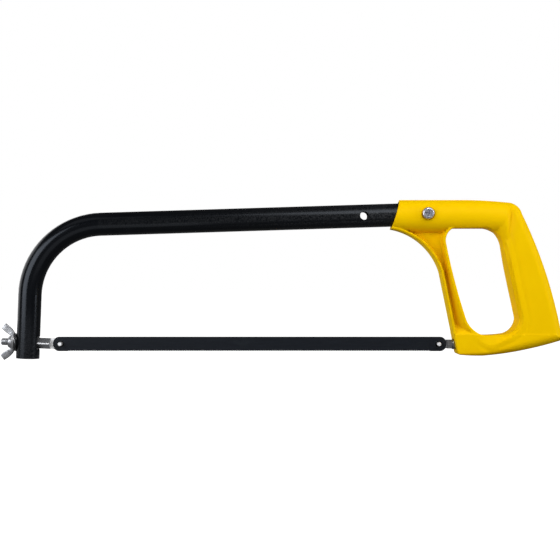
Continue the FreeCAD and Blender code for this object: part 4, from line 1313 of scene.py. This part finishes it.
cap = spin(tip_profile, on_rod, steps=AROUND)
for source in (thread, cap):
    held = bpy.data.meshes.new("part_of_rod")
    source.to_mesh(held)
    rod.from_mesh(held)
    source.free()
    bpy.data.meshes.remove(held)
bmesh.ops.remove_doubles(rod, verts=rod.verts, dist=2e-7)
finish_piece(
    rod, "threaded_rod", rod_steel, "tension_rod", "tension_rod", crease=32, bevel_mm=0.12
)

# %% [markdown]
# ## Washer
# Between the wing nut and the tube sits a formed black washer. Its outer rim is turned back
# and pressed into a soft wave, which catches light in a broken line. It is a spun profile whose
# rim is then moved in and out by a few tenths of a millimetre.

# %% Formed washer
WASHER_PROFILE = [
    (33.1, 3.2), (33.1, 5.6), (33.3, 6.1), (33.9, 6.6), (34.25, 7.0), (34.3, 7.4), (34.6, 7.48),
    (35.1, 7.48), (35.45, 7.35), (35.7, 7.0), (35.9, 6.4), (36.0, 5.6), (36.0, 3.2),
]
WAVES = 9
WAVE_DEPTH = 0.22
RIM_START = 5.8
RIM_WIDTH = 1.7


def washer_place(along, up, side):
    """Place of a washer point, with the pressed wave round its rim."""
    radius = math.hypot(up, side)
    turn = math.atan2(side, up)
    wave = WAVE_DEPTH * math.cos(WAVES * turn) * max(0.0, (radius - RIM_START) / RIM_WIDTH)
    shrink = 1 - 0.02 * abs(math.cos(WAVES / 2 * turn)) * (radius > 7)
    return on_rod(along + (wave if along < 35.6 else 0.0), up * shrink, side * shrink)


washer = spin(WASHER_PROFILE, washer_place, steps=108, closed=True)
finish_piece(washer, "formed_washer", washer_black, "frame", "thrust_washer", crease=50)

# %% [markdown]
# ## Parts that stay as they are
# The cross screw, its nut and the holder of the rear pin are turned and milled parts with flat
# faces, so the mechanical model already shows them well, cross recess included. A real edge is
# never perfectly sharp, though, and the thin bright line on an eased edge is what makes metal
# look like metal. A weld joins the loose faces first, because a bevel needs joined edges, and
# the shading is then weighted so that the flat faces stay flat.

# %% Eased edges


def ease_edges(node, width_mm, angle=30.0):
    """Weld a carried part's faces together and round its sharp edges a little."""
    part = frame["nodes"][node]
    weld = part.modifiers.new("welded", "WELD")
    weld.merge_threshold = 1e-6
    bevel = part.modifiers.new("eased_edges", "BEVEL")
    bevel.width = width_mm * MM
    bevel.segments = 2
    bevel.limit_method = "ANGLE"
    bevel.angle_limit = math.radians(angle)
    weighted = part.modifiers.new("even_shading", "WEIGHTED_NORMAL")
    weighted.keep_sharp = True


for node, width in (("rear_blade_holder", 0.18), ("handle_screw_nut", 0.15), ("handle_screw", 0.10)):
    ease_edges(node, width)
print("eased three carried parts")
